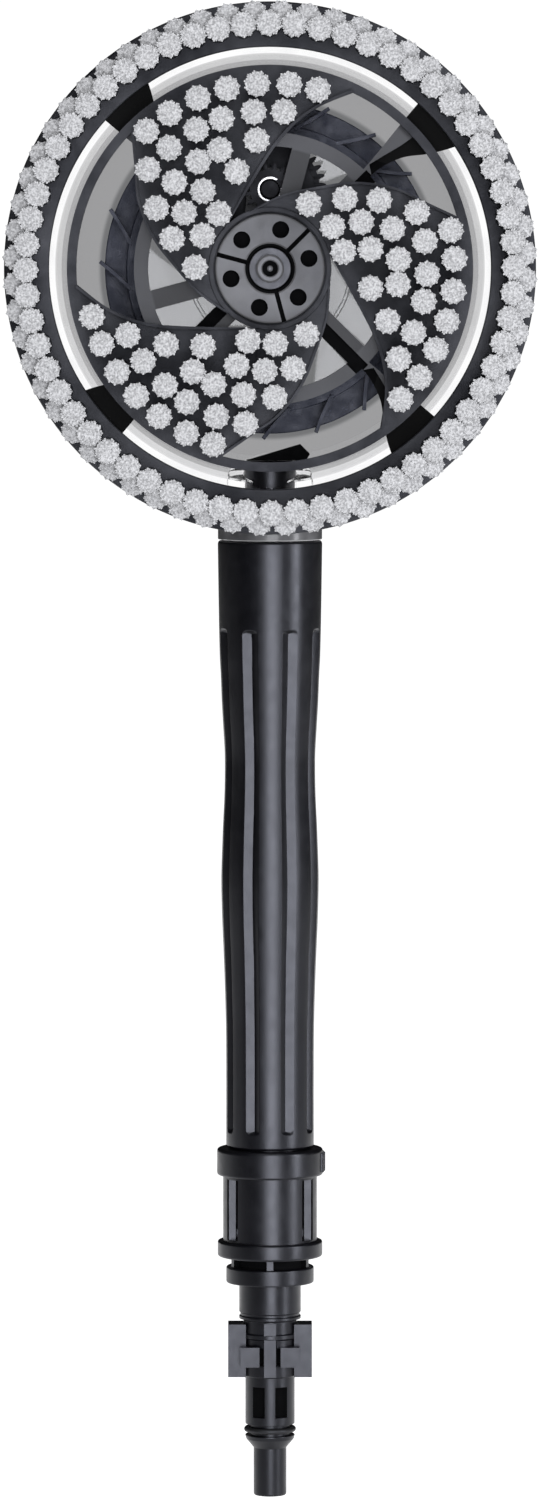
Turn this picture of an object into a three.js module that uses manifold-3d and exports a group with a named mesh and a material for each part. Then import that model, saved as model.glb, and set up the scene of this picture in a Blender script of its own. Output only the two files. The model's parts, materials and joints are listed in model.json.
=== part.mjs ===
// A rotary wash brush for a pressure washer: a water-driven turbine in a clear housing turns a round
// brush head through a gear train, at the end of a hollow grooved handle that plugs into a spray gun.
// Millimetres, +Z up along the handle, bristles facing -Y, origin at the open end of the plug.

import * as THREE from 'three';
import { mergeVertices } from 'three/addons/utils/BufferGeometryUtils.js';
import Module from 'manifold-3d';

const wasm = await Module();
wasm.setup();

// ---------------------------------------------------------------- driving dimensions

const HEAD_Z = 417;              // height of the brush axis above the plug's end
const GAP = 0.3;                 // clearance between pieces that meet or slide
const ROUND = 28;                // sides of a medium round piece
const FINE = 40;                 // sides of a large round piece
const SMALL = 18;                // sides of a small round piece

// Depths in the head run forward from the handle's axis, towards the bristle tips.
const TIP_DEPTH = 48;
const PLATE_BACK = 22.5;
const PLATE_FRONT = 27;
const RING_FRONT = 28;
const CARRIER_BACK = 17.5;
const CARRIER_FRONT = PLATE_BACK - GAP;

const RING_INNER_R = 73.8;
const RING_OUTER_R = 88.8;
const BRISTLE_SPLIT_R = 82.6;    // between the two rows of tufts on the outer ring
const HOOP_INNER_R = 64.7;
const HOOP_OUTER_R = 67.8;
const DISC_CENTRE_R = 20.5;
const BLADES = 3;
const BLADE_WALL = 1.2;
const BLADE_WALL_TOP = 29;

const FRAME_INNER_R = 40.8;
const FRAME_OUTER_R = 45.5;
const SPOKE_WIDTH = 6.5;
const SPOKE_ANGLE = 75;
const ARM_SPOKE_WIDTH = 7.8;
const ARMS = 4;
const ARM_SCREW_R = 80;
const ARM_SCREW_ANGLE = 41;
const DISC_SCREW_R = 43.1;
const DISC_SCREW_ANGLE = 3.5;

const HUB_R = 18.35;
const HUB_BACK = PLATE_FRONT + GAP;
const HUB_FRONT = 30.8;
const HUB_HOLE_R = 2.85;
const HUB_HOLE_CIRCLE_R = 13.4;
const HUB_SLOT_DEPTH = 2.9;
const DRIVE_PIN_R = 1.5;
const DRIVE_PIN_CIRCLE_R = 11.5;
const DRIVE_PIN_ANGLE = 15;

const SHAFT_R = 4;
const SHAFT_BACK = -24;
const SHAFT_FRONT = 26.9;
const RUN_R = SHAFT_R + GAP;     // bore of what turns on the shaft
const BUSH_R = 6.2;
const SEAT_R = BUSH_R + GAP;     // bore that holds a bush

const GEAR_MODULE = 1;
const OUTPUT_TEETH = 37;
const IDLER_SMALL_TEETH = 16;
const IDLER_LARGE_TEETH = 36;
const PINION_TEETH = 17;
const GEAR_CENTRES = (OUTPUT_TEETH + IDLER_SMALL_TEETH) * GEAR_MODULE / 2;
const TOOTH_THINNING = 0.24;
const SPINDLE_R = 3;
const OUTPUT_GEAR = [10.7, 17.1];    // from and to, in depth
const IDLER_PINION = [10.7, 15.6];
const IDLER_GEAR = [1.5, 6.4];
const TURBINE_PINION = [1.5, 6.5];
const GEAR_PLATE = [7, 9.5];

const VANES = 20;
const VANE_INNER_R = 47.5;
const TURBINE_HOOP_R = 44.7;
const VANE_OUTER_R = 57.4;
const TURBINE_RIM_R = 55.9;
const TURBINE_BACK = -12.5;
const VANE_FRONT = 0.5;

const NECK_R = 14.5;
const NECK_BORE_R = 9.1;
const NECK_END = HEAD_Z - 300;
const INLET_R = 8.75;

const HANDLE_TOP = 325.3;
const HANDLE_BOTTOM = 119.4;
const HANDLE_BORE_R = 11.3;
const SOCKET_R = NECK_R + GAP;
const SPIGOT_R = 12.8;
const SPIGOT_BOTTOM = 92;
const PLUG_BODY_R = 8.7;
const GROOVE_ANGLES = [23.3, 66.7];  // in each quarter turn
const GROOVE_WIDTH = 4.8;
const GROOVE_DEPTH = 1.1;
const GROOVE_BOTTOM = 125;
const GROOVE_TOP = 295;

const COLLAR_BOTTOM = 82;
const COLLAR_TOP = 119;
const WATER_BORE_R = 3.2;

// ---------------------------------------------------------------- materials

const finish = (color, roughness, metalness = 0, extra = {}) =>
  new THREE.MeshStandardMaterial({ color, roughness, metalness, ...extra });

const BLACK = finish(0x1e1f23, 0.5);
const CARRIER_GREY = finish(0x3c3d41, 0.5);
const HUB_GREY = finish(0x6c6d70, 0.45);
const CLEAR = finish(0xdfe4e6, 0.08, 0, { transparent: true, opacity: 0.35 });
const TURBINE_BLUE = finish(0x262a38, 0.4);
const GEAR_BLACK = finish(0x232427, 0.45);
const BRISTLE = finish(0xd2d2d4, 0.8);
const RUBBER = finish(0x121213, 0.7);
const STEEL = finish(0xa6a8ab, 0.3, 1);
const BRONZE = finish(0xa9824a, 0.4, 1);

// ---------------------------------------------------------------- solids

const rad = THREE.MathUtils.degToRad;

function solid(geometry) {
  const bare = geometry.clone();
  bare.deleteAttribute('normal');
  bare.deleteAttribute('uv');
  const merged = mergeVertices(bare, 1e-4);
  const corners = [];
  const index = merged.index.array;
  for (let i = 0; i < index.length; i += 3) {
    const [a, b, c] = [index[i], index[i + 1], index[i + 2]];
    if (a !== b && b !== c && c !== a) corners.push(a, b, c);
  }
  return new wasm.Manifold(new wasm.Mesh({
    numProp: 3,
    vertProperties: new Float32Array(merged.attributes.position.array),
    triVerts: new Uint32Array(corners),
  }));
}

function geometryOf(body) {
  const mesh = body.getMesh();
  const geometry = new THREE.BufferGeometry();
  geometry.setAttribute('position', new THREE.BufferAttribute(mesh.vertProperties, 3));
  geometry.setIndex(new THREE.BufferAttribute(mesh.triVerts, 1));
  geometry.computeVertexNormals();
  return geometry;
}

const join = (first, ...others) => others.reduce((sum, body) => sum.add(body), first);
const cut = (first, ...others) => others.reduce((rest, body) => rest.subtract(body), first);

// A body turned about Z from a profile of [radius, z] points.
function turned(profile, sides = ROUND) {
  const points = profile.map(([r, z]) => new THREE.Vector2(r, z));
  if (THREE.ShapeUtils.area(points) < 0) points.reverse();
  if (profile[0][0] !== 0) points.push(points[0].clone());
  return solid(new THREE.LatheGeometry(points, sides).rotateX(Math.PI / 2));
}

const rod = (r, low, high, sides = ROUND) => turned([[0, low], [r, low], [r, high], [0, high]], sides);

const tube = (inner, outer, low, high, sides = ROUND) =>
  turned([[inner, low], [outer, low], [outer, high], [inner, high]], sides);

// A ring of round section about Z.
function roundRing(centreR, sectionR, z, sides = 24, facets = 6) {
  const section = Array.from({ length: facets }, (_, i) => {
    const angle = 2 * Math.PI * i / facets;
    return [centreR + sectionR * Math.cos(angle), z + sectionR * Math.sin(angle)];
  });
  return turned(section, sides);
}

function plate(shape, low, high, curveSegments = 6) {
  const settings = { depth: high - low, bevelEnabled: false, curveSegments };
  return solid(new THREE.ExtrudeGeometry(shape, settings).translate(0, 0, low));
}

const vectors = (points) => points.map(([x, y]) => new THREE.Vector2(x, y));

const block = (x, y, z) => solid(new THREE.BoxGeometry(x[1] - x[0], y[1] - y[0], z[1] - z[0])
  .translate((x[0] + x[1]) / 2, (y[0] + y[1]) / 2, (z[0] + z[1]) / 2));

// A range on one side of a middle plane: as given where the side is 1, and mirrored where it is -1.
const across = (from, to, side) => (side > 0 ? [from, to] : [-to, -from]);

// What make gives for each of the four combinations of sides.
const inCorners = (make) => [1, -1].flatMap((side) => [1, -1].map((face) => make(side, face)));

// A round bar between two points.
function bar(from, to, r, sides = 16) {
  const [start, end] = [new THREE.Vector3(...from), new THREE.Vector3(...to)];
  const along = end.clone().sub(start);
  const up = new THREE.Vector3(0, 1, 0);
  const turn = new THREE.Quaternion().setFromUnitVectors(up, along.clone().normalize());
  const middle = start.add(end).multiplyScalar(0.5);
  const geometry = new THREE.CylinderGeometry(r, r, along.length(), sides).applyQuaternion(turn);
  return solid(geometry.translate(middle.x, middle.y, middle.z));
}

const polar = (r, degrees) => [r * Math.cos(rad(degrees)), r * Math.sin(rad(degrees))];

const around = (count, make) => Array.from({ length: count }, (_, k) => make(k, 360 * k / count));

const turnedBy = (body, degrees) => body.rotate([0, 0, degrees]);

const movedTo = (body, r, degrees) => body.translate([...polar(r, degrees), 0]);

// Points along a smooth curve through a list of points.
function curved(points) {
  const curve = new THREE.SplineCurve(vectors(points));
  return curve.getPoints(2 * (points.length - 1));
}

// ---------------------------------------------------------------- scene graph

const assembly = new THREE.Group();
const head = new THREE.Group();      // +Z forward along the brush axis, +Y up
head.position.set(0, 0, HEAD_Z);
head.rotation.x = Math.PI / 2;
assembly.add(head);

function piece(parent, name, body, material) {
  const mesh = new THREE.Mesh(geometryOf(body), material);
  mesh.name = name;
  parent.add(mesh);
}

// ---------------------------------------------------------------- gears

// Half the angle that a tooth fills at radius r, from the involute of a 20 degree gear.
function toothHalfAngle(teeth, r) {
  const pitchR = teeth * GEAR_MODULE / 2;
  const baseR = pitchR * Math.cos(rad(20));
  const involute = (radius) => {
    const pressure = Math.acos(Math.min(1, baseR / Math.max(radius, baseR)));
    return Math.tan(pressure) - pressure;
  };
  const atPitch = Math.PI / (2 * teeth) - TOOTH_THINNING / (2 * pitchR);
  return atPitch + involute(pitchR) - involute(r);
}

// An outline with a tooth at its top, or with a gap there.
function gearShape(teeth, gapAtTop = false) {
  const pitchR = teeth * GEAR_MODULE / 2;
  const radii = [pitchR - 1.25 * GEAR_MODULE, pitchR + 0.95 * GEAR_MODULE];
  const first = Math.PI / 2 + (gapAtTop ? Math.PI / teeth : 0);
  const shape = [];
  for (let tooth = 0; tooth < teeth; tooth++) {
    const middle = first + 2 * Math.PI * tooth / teeth;
    const side = (r, sign) => {
      const angle = middle + sign * toothHalfAngle(teeth, r);
      return new THREE.Vector2(r * Math.cos(angle), r * Math.sin(angle));
    };
    shape.push(...radii.map((r) => side(r, -1)), ...radii.toReversed().map((r) => side(r, 1)));
  }
  return new THREE.Shape(shape);
}

const gear = (teeth, low, high, gapAtTop) => plate(gearShape(teeth, gapAtTop), low, high);

// ---------------------------------------------------------------- turning brush

// A blade seen from the front: two curved sides from the hub out, and arcs that close them.
const LEADING_EDGE = [[24.9, 80.6], [31.9, 59], [40.3, 45.8], [49.1, 33.7], [55.5, 24.3]];
const TRAILING_EDGE = [[26.5, -12.6], [34, -25.5], [42.2, -33.9], [50, -41], [57, -47.7]];
const BLADE_ROOT = [18, 110];        // angles where the two edges meet the hub
const BLADE_RIM = [-55.3, 15.3];     // and where they meet the hoop

const degreesOf = (length, r) => THREE.MathUtils.radToDeg(length / r);

// A blade's outline, moved in by the inset along its two curved sides.
function bladeShape(inset, innerR, outerR) {
  const edge = (points, end, sign) => [[innerR, BLADE_ROOT[end]], ...points, [outerR, BLADE_RIM[end]]]
    .map(([r, angle]) => polar(r, angle + sign * degreesOf(inset, r)));
  const arc = (r, from, to) =>
    Array.from({ length: 7 }, (_, k) => polar(r, from + (to - from) * (k + 1) / 8));
  return new THREE.Shape([
    ...curved(edge(TRAILING_EDGE, 0, 1)),
    ...vectors(arc(outerR, BLADE_RIM[0], BLADE_RIM[1])),
    ...curved(edge(LEADING_EDGE, 1, -1).toReversed()),
    ...vectors(arc(innerR, BLADE_ROOT[1], BLADE_ROOT[0])),
  ]);
}

function bladeDisc() {
  const blade = plate(bladeShape(0, DISC_CENTRE_R - 0.7, HOOP_INNER_R + 1), PLATE_BACK, PLATE_FRONT);
  const walls = cut(
    plate(bladeShape(0, DISC_CENTRE_R, HOOP_INNER_R), PLATE_FRONT - 1, BLADE_WALL_TOP),
    plate(bladeShape(BLADE_WALL, DISC_CENTRE_R - 0.1, HOOP_INNER_R + 0.1), PLATE_FRONT, BLADE_WALL_TOP + 1),
  );
  const screwHole = rod(1.5, PLATE_BACK - 1, PLATE_FRONT - 1, 8);
  const whole = cut(join(blade, walls), movedTo(screwHole, DISC_SCREW_R, DISC_SCREW_ANGLE));
  return join(
    tube(HOOP_INNER_R, HOOP_OUTER_R, PLATE_BACK, PLATE_FRONT, FINE),
    tube(SEAT_R, DISC_CENTRE_R, PLATE_BACK, PLATE_FRONT),
    ...around(BLADES, (k, turn) => turnedBy(whole, turn)),
  );
}

function bladeBristles(turn) {
  const shape = bladeShape(BLADE_WALL + 1.4, DISC_CENTRE_R, HOOP_INNER_R + 0.4);
  const clearOfHub = rod(DISC_CENTRE_R + 1.2, PLATE_FRONT - 1, TIP_DEPTH + 1);
  return turnedBy(cut(plate(shape, PLATE_FRONT + GAP, TIP_DEPTH), clearOfHub), turn);
}

// A flared arm from the frame's ring out under the outer ring, by its two sides in radius and angle.
const ARM_LEADING_SIDE = [[42.5, 46.5], [52, 47], [65, 47.8], [84, 48.3]];
const ARM_TRAILING_SIDE = [[84, 33], [75, 33.2], [66, 35.6], [58, 39.8], [50, 42.3], [42.5, 42.5]];

function carrierArm() {
  const [leading, trailing] = [ARM_LEADING_SIDE, ARM_TRAILING_SIDE]
    .map((side) => curved(side.map(([r, angle]) => polar(r, angle))));
  const arm = plate(new THREE.Shape([...trailing, ...leading]), CARRIER_BACK, CARRIER_FRONT);
  const screwWay = join(rod(3.3, CARRIER_BACK - 1, 19.3, 12), rod(1.6, 19, CARRIER_FRONT + 1, 8));
  return cut(arm, movedTo(screwWay, ARM_SCREW_R, ARM_SCREW_ANGLE));
}

function carrierFrame() {
  const width = [-SPOKE_WIDTH / 2, SPOKE_WIDTH / 2];
  const spoke = block([12, FRAME_INNER_R + 1], width, [CARRIER_BACK, CARRIER_FRONT]);
  const side = ARM_SPOKE_WIDTH / 2;
  const armSpoke = cut(
    block([12, FRAME_INNER_R + 1], [-side, side], [CARRIER_BACK, CARRIER_FRONT]),
    block([19, FRAME_INNER_R + 2], [-side - 1, side - 3.4], [CARRIER_FRONT - 2.6, CARRIER_FRONT + 1]),
  );
  const frame = join(
    tube(FRAME_INNER_R, FRAME_OUTER_R, CARRIER_BACK, CARRIER_FRONT, FINE),
    tube(SEAT_R, 17, CARRIER_BACK, CARRIER_FRONT),
    ...[0, 120].map((turn) => turnedBy(spoke, SPOKE_ANGLE + turn)),
    ...around(ARMS, (k, turn) => turnedBy(armSpoke, 45 + turn)),
    ...around(ARMS, (k, turn) => turnedBy(carrierArm(), turn)),
  );
  const screwHole = rod(1.6, CARRIER_BACK - 1, CARRIER_FRONT + 1, 8);
  const screwHoles = around(BLADES, (k, turn) => movedTo(screwHole, DISC_SCREW_R, DISC_SCREW_ANGLE + turn));
  return cut(frame, ...screwHoles, ...drivePinHoles(CARRIER_BACK - 1, 21.2));
}

function drivePinHoles(low, high) {
  const hole = rod(DRIVE_PIN_R + GAP, low, high, 8);
  return around(3, (k, turn) => movedTo(hole, DRIVE_PIN_CIRCLE_R, DRIVE_PIN_ANGLE + turn));
}

function outerRing() {
  const ring = turned([
    [RING_INNER_R, PLATE_BACK], [RING_OUTER_R, PLATE_BACK], [RING_OUTER_R, RING_FRONT - 1],
    [RING_OUTER_R - 1, RING_FRONT], [RING_INNER_R, RING_FRONT],
  ], FINE);
  const hole = rod(1.5, PLATE_BACK - 1, RING_FRONT - 1.5, 8);
  return cut(ring, ...around(ARMS, (k, turn) => movedTo(hole, ARM_SCREW_R, ARM_SCREW_ANGLE + turn)));
}

function hubDisc() {
  const disc = turned([
    [7.5, HUB_BACK], [HUB_R, HUB_BACK], [HUB_R, HUB_FRONT - 0.8], [HUB_R - 0.8, HUB_FRONT],
    [8.2, HUB_FRONT], [7.5, HUB_FRONT - 0.7],
  ]);
  const hole = rod(HUB_HOLE_R, HUB_BACK - 1, HUB_FRONT + 1, 12);
  const slot = block([5, HUB_R + 1], [-0.75, 0.75], [HUB_FRONT - HUB_SLOT_DEPTH, HUB_FRONT + 1]);
  return cut(
    disc,
    ...around(6, (k, turn) => movedTo(hole, HUB_HOLE_CIRCLE_R, 14.6 + turn)),
    ...around(3, (k, turn) => turnedBy(slot, 45 + turn)),
  );
}

// A small screw along the head's axis: a head and a shank in front of it.
const headScrew = (headR, headBack, headFront, shankR, end) =>
  join(rod(headR, headBack, headFront, 10), rod(shankR, headFront - 0.1, end, 8));

piece(head, 'outer_ring', outerRing(), BLACK);
piece(head, 'outer_bristles',
  tube(BRISTLE_SPLIT_R, RING_OUTER_R - 0.4, RING_FRONT + GAP, TIP_DEPTH, FINE), BRISTLE);
piece(head, 'inner_bristles',
  tube(RING_INNER_R + 2.6, BRISTLE_SPLIT_R - GAP, RING_FRONT + GAP, TIP_DEPTH, FINE), BRISTLE);
piece(head, 'blade_disc', bladeDisc(), BLACK);
piece(head, 'carrier_frame', carrierFrame(), CARRIER_GREY);
piece(head, 'hub_disc', hubDisc(), HUB_GREY);
piece(head, 'output_gear',
  cut(gear(OUTPUT_TEETH, ...OUTPUT_GEAR), rod(SEAT_R, 0, 30), ...drivePinHoles(9, 18)), GEAR_BLACK);
piece(head, 'hub_bush', tube(RUN_R, BUSH_R, 10.8, SHAFT_FRONT, SMALL), BRONZE);

const discScrew = headScrew(2, 15.7, 17.2, 1.2, 25.5);
const ringScrew = headScrew(3, 17.6, 19, 1.2, 26);
const drivePin = rod(DRIVE_PIN_R, 11, 21, 8);
around(BLADES, (k, turn) => {
  piece(head, `blade_bristles_${k + 1}`, bladeBristles(turn), BRISTLE);
  piece(head, `disc_screw_${k + 1}`, movedTo(discScrew, DISC_SCREW_R, DISC_SCREW_ANGLE + turn), STEEL);
  piece(head, `drive_pin_${k + 1}`, movedTo(drivePin, DRIVE_PIN_CIRCLE_R, DRIVE_PIN_ANGLE + turn), STEEL);
});
around(ARMS, (k, turn) => {
  piece(head, `ring_screw_${k + 1}`, movedTo(ringScrew, ARM_SCREW_R, ARM_SCREW_ANGLE + turn), STEEL);
});

// ---------------------------------------------------------------- gear train and turbine

const atIdler = (body) => body.translate([0, GEAR_CENTRES, 0]);

// The large idler gear and its spindle, with the gap between two teeth facing the brush axis.
function idlerGear() {
  const wheel = gear(IDLER_LARGE_TEETH, ...IDLER_GEAR, true);
  const spindle = turned([[0, 6.3], [SPINDLE_R, 6.3], [SPINDLE_R, 15.9], [SPINDLE_R - 0.6, 15.9],
    [SPINDLE_R - 0.6, 16.5], [SPINDLE_R, 16.5], [SPINDLE_R, 17.1], [0, 17.1]], SMALL);
  return join(wheel, spindle);
}

function gearPlate() {
  const shape = new THREE.Shape();
  shape.absarc(0, 0, 10.5, rad(175), rad(365), false);
  shape.absarc(0, GEAR_CENTRES, 7.5, rad(5), rad(175), false);
  const flats = [1, -1].map((side) => block(across(3.7, 6, side), [-6, 6], [5, 11]));
  const bore = cut(rod(RUN_R, 5, 11, SMALL), ...flats);
  return cut(plate(shape, ...GEAR_PLATE, 10), bore, atIdler(rod(5.3, 5, 11, SMALL)));
}

function idlerCirclip() {
  const opening = block([-1.6, 1.6], [0, 8], [15, 18]);
  return atIdler(cut(tube(SPINDLE_R - 0.3, 4.6, 16, 16.4, SMALL), turnedBy(opening, -60)));
}

// A vane that leans across the rim, set by the angle of its outer end.
function vane(angle) {
  const [xo, yo] = polar(VANE_OUTER_R, angle);
  const [xi, yi] = polar(VANE_INNER_R, angle + 10.5);
  const lean = Math.atan2(yo - yi, xo - xi) * 180 / Math.PI;
  const length = Math.hypot(xo - xi, yo - yi);
  const flat = block([0, length], [-0.6, 0.6], [TURBINE_BACK, VANE_FRONT]);
  return turnedBy(flat, lean).translate([xi, yi, 0]);
}

function turbineWheel() {
  const rib = block([8, VANE_INNER_R], [-0.7, 0.7], [TURBINE_BACK + 1, -5]);
  const [floor, hoop] = [TURBINE_BACK + 2.5, VANE_INNER_R + 0.8];
  return join(
    tube(SEAT_R, 9.5, -14.6, 1.2),
    turned([
      [TURBINE_HOOP_R, TURBINE_BACK], [TURBINE_RIM_R, TURBINE_BACK], [TURBINE_RIM_R, floor],
      [hoop, floor], [hoop, VANE_FRONT - 1], [TURBINE_HOOP_R, VANE_FRONT - 1],
    ], FINE),
    ...around(6, (k, turn) => turnedBy(rib, 15 + turn)),
    ...around(VANES, (k, turn) => vane(33.7 + turn)),
  );
}

const turbinePinion = join(
  tube(RUN_R, BUSH_R, -4, 2, SMALL),
  cut(gear(PINION_TEETH, ...TURBINE_PINION), rod(RUN_R, 0, 8, SMALL)),
);
const idlerPinion = cut(gear(IDLER_SMALL_TEETH, ...IDLER_PINION, true), rod(SPINDLE_R + GAP, 9, 17, SMALL));

piece(head, 'turbine_wheel', turbineWheel(), TURBINE_BLUE);
piece(head, 'turbine_pinion', turbinePinion, GEAR_BLACK);
piece(head, 'turbine_bush', tube(RUN_R, BUSH_R, -14.4, -4.5, SMALL), BRONZE);
piece(head, 'idler_gear', atIdler(idlerGear()), GEAR_BLACK);
piece(head, 'idler_pinion', atIdler(idlerPinion), GEAR_BLACK);
piece(head, 'idler_circlip', idlerCirclip(), STEEL);
piece(head, 'idler_bush', atIdler(tube(SPINDLE_R + GAP, 5, 6.8, 10.2, SMALL)), BRONZE);
piece(head, 'gear_plate', gearPlate(), CARRIER_GREY);

// ---------------------------------------------------------------- shaft and what holds it

function mainShaft() {
  const flats = [1, -1].map((side) => block(across(3.4, 6, side), [-6, 6], [6.8, 30]));
  return cut(rod(SHAFT_R, SHAFT_BACK, SHAFT_FRONT, SMALL), ...flats, rod(1.8, 14, 30, 8));
}

const hexagon = (acrossFlats) => new THREE.Shape(
  around(6, (k, turn) => new THREE.Vector2(...polar(acrossFlats / 2 / Math.cos(rad(30)), 30 + turn))));

function retainingScrew() {
  const screwHead = turned([[0, 28.4], [4.7, 28.4], [4.7, 30.2], [4.2, 30.6], [0, 30.6]], SMALL);
  return join(cut(screwHead, rod(2.7, 29, 31, 12)), rod(1.5, 15, 28.5, 8), rod(1, 28.9, 30.2, 8));
}

function rearCap() {
  return turned([
    [0, -25.6], [11, -25], [11.8, -24], [11.8, -20.3], [14, -20.3], [14, -24.5], [12, -27], [0, -27.6],
  ]);
}

piece(head, 'main_shaft', mainShaft(), STEEL);
piece(head, 'shaft_nut', cut(plate(hexagon(13), -24.2, -20.4), rod(RUN_R, -30, 0, SMALL)), STEEL);
piece(head, 'rear_cap', rearCap(), BLACK);
piece(head, 'thrust_washer', tube(RUN_R, 8.5, -16.2, -15, SMALL), STEEL);
piece(head, 'spacer_washer', tube(RUN_R, 8, 9.8, 10.4, SMALL), STEEL);
piece(head, 'retaining_washer', tube(1.9, 7, 27.2, 28.1, SMALL), STEEL);
piece(head, 'retaining_screw', retainingScrew(), STEEL);

// ---------------------------------------------------------------- clear housing and water inlet

// The cup's wall from the back forward, outside, and from the rim back, inside.
const HOUSING_OUTSIDE = [[42, -20], [58, -18], [67, -11.6], [73, 0], [75, 7], [80, 12], [80.5, 15.5]];
const HOUSING_INSIDE = [
  [76.5, 15.5], [75, 10.5], [71.6, 6.6], [69.2, -2], [64, -10.4], [56, -15.4], [40, -17],
];

function clearHousing() {
  const shell = turned([
    [RUN_R, -20], ...HOUSING_OUTSIDE, ...HOUSING_INSIDE,
    [28, -17], [28, -15.8], [26.8, -15.8], [26.8, -17], [RUN_R, -17],
  ], FINE);
  const hollow = turned([[0, 16], [76.5, 16], ...HOUSING_INSIDE, [0, -17]], FINE);
  const down = (from, to, r, sides) => bar([0, -from, 0], [0, -to, 0], r, sides);
  const neck = down(62, NECK_END, NECK_R, 24);
  const flange = down(87.6, HEAD_Z - HANDLE_TOP - GAP, 17.65, 24);
  const bore = down(60, NECK_END + 1, NECK_BORE_R, 16);
  const sealGroove = cut(down(107.6, 110.4, NECK_R + 1, 24), down(106, 112, 12.8, 24));
  return cut(join(shell, cut(join(neck, flange), hollow)), bore, sealGroove, ...handleScrews(1.8, 3.3));
}

// Two screws through the back of the handle into the clear neck, in the head's frame.
function handleScrews(shankR, headR) {
  return [-35, 35].map((angle) => {
    const at = (r) => [r * Math.sin(rad(angle)), -100.5, -r * Math.cos(rad(angle))];
    return join(bar(at(12), at(16), shankR, 8), bar(at(15.5), at(17.3), headR, 12));
  });
}

function jetNozzle() {
  const outline = vectors([[-8, -64.5], [-6.5, -64.2], [10.2, -59.2], [13.4, -62.4], [12.2, -64.5]]);
  return cut(plate(new THREE.Shape(outline), -4.5, 8), bar([-1, -66, 0], [14.5, -59.6, 0], 1.4, 12));
}

const inletTube = cut(
  join(bar([0, -64.8, 0], [0, -125.7, 0], INLET_R, 20), bar([0, -125, 0], [0, -146, 0], 5.5, 16)),
  bar([0, -60, 0], [0, -150, 0], WATER_BORE_R, 12));

piece(head, 'clear_housing', clearHousing(), CLEAR);
piece(head, 'inlet_tube', inletTube, BLACK);
piece(head, 'jet_nozzle', jetNozzle(), BLACK);
piece(assembly, 'neck_seal', roundRing(13.95, 0.75, HEAD_Z - 109), RUBBER);
handleScrews(1.5, 2.9).forEach((screw, k) => piece(head, `handle_screw_${k + 1}`, screw, STEEL));

// ---------------------------------------------------------------- handle

// The grip's radius and height, waisted above the middle and swelling again below it.
const GRIP = [[14.9, 120], [14.9, 160], [15.6, 182], [16.25, 198], [16.5, 211], [16.15, 223],
  [15.4, 239], [15.3, 252], [16.3, 271], [17, 287], [17.65, 324.7]];

function gripRadius(z) {
  const above = GRIP.findIndex(([, height]) => height > z);
  const [[r0, z0], [r1, z1]] = [GRIP[above - 1], GRIP[above]];
  return r0 + (r1 - r0) * (z - z0) / (z1 - z0);
}

// A round-ended groove that follows the grip's outside, at one angle about the handle.
function groove(angle) {
  const steps = GRIP.map(([, z]) => z).filter((z) => z > GROOVE_BOTTOM && z < GROOVE_TOP);
  const floor = [GROOVE_BOTTOM, ...steps, GROOVE_TOP].map((z) => [gripRadius(z) - GROOVE_DEPTH, z]);
  const side = new THREE.Shape(vectors([...floor, [22, GROOVE_TOP], [22, GROOVE_BOTTOM]]));
  const slab = plate(side, -GROOVE_WIDTH / 2, GROOVE_WIDTH / 2).rotate([90, 0, 0]);
  const ends = [floor[0], floor.at(-1)].map(([r, z]) => bar([r, 0, z], [22, 0, z], GROOVE_WIDTH / 2, 8));
  return turnedBy(join(slab, ...ends), angle);
}

function handleGrip() {
  const body = turned([
    [9, SPIGOT_BOTTOM], [SPIGOT_R, SPIGOT_BOTTOM], [SPIGOT_R, HANDLE_BOTTOM], [14.4, HANDLE_BOTTOM],
    ...GRIP, [17.2, HANDLE_TOP], [SOCKET_R, HANDLE_TOP], [SOCKET_R, 299], [HANDLE_BORE_R, 297],
    [HANDLE_BORE_R, 126], [9, 124],
  ]);
  const screwWays = handleScrews(1.8, 3.3).map((way) => way.rotate([90, 0, 0]).translate([0, 0, HEAD_Z]));
  const grooves = around(4, (k, turn) => GROOVE_ANGLES.map((angle) => groove(angle + turn))).flat();
  return cut(body, ...grooves, ...screwWays);
}

piece(assembly, 'handle_grip', handleGrip(), BLACK);
piece(assembly, 'water_pipe', tube(5.8, 7.5, 126.3, 291, 16), BLACK);

// ---------------------------------------------------------------- locking collar

function couplingCollar() {
  const body = turned([
    [9.1, COLLAR_BOTTOM], [17, COLLAR_BOTTOM], [17.8, COLLAR_BOTTOM + 0.9], [17.8, 87.5], [15.95, 87.5],
    [15.95, 109.7], [18, 110.2], [18, 118], [17, COLLAR_TOP], [13.1, COLLAR_TOP], [13.1, 88.7], [9.1, 88.7],
  ]);
  const slots = inCorners((side, face) =>
    block(across(11.5, 14, side), across(7.5, 20, face), [88.3, 108.9]));
  const earWays = block([-5.6, 5.6], [-13, 13], [COLLAR_BOTTOM - 1, 90]);
  const gripBump = bar([17.9, 0, 110.9], [17.9, 0, 117.3], 0.9, 8);
  return cut(join(body, ...[-13, 0, 13].map((angle) => turnedBy(gripBump, angle))), ...slots, earWays);
}

piece(assembly, 'coupling_collar', couplingCollar(), BLACK);

// ---------------------------------------------------------------- adapter plug

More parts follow.
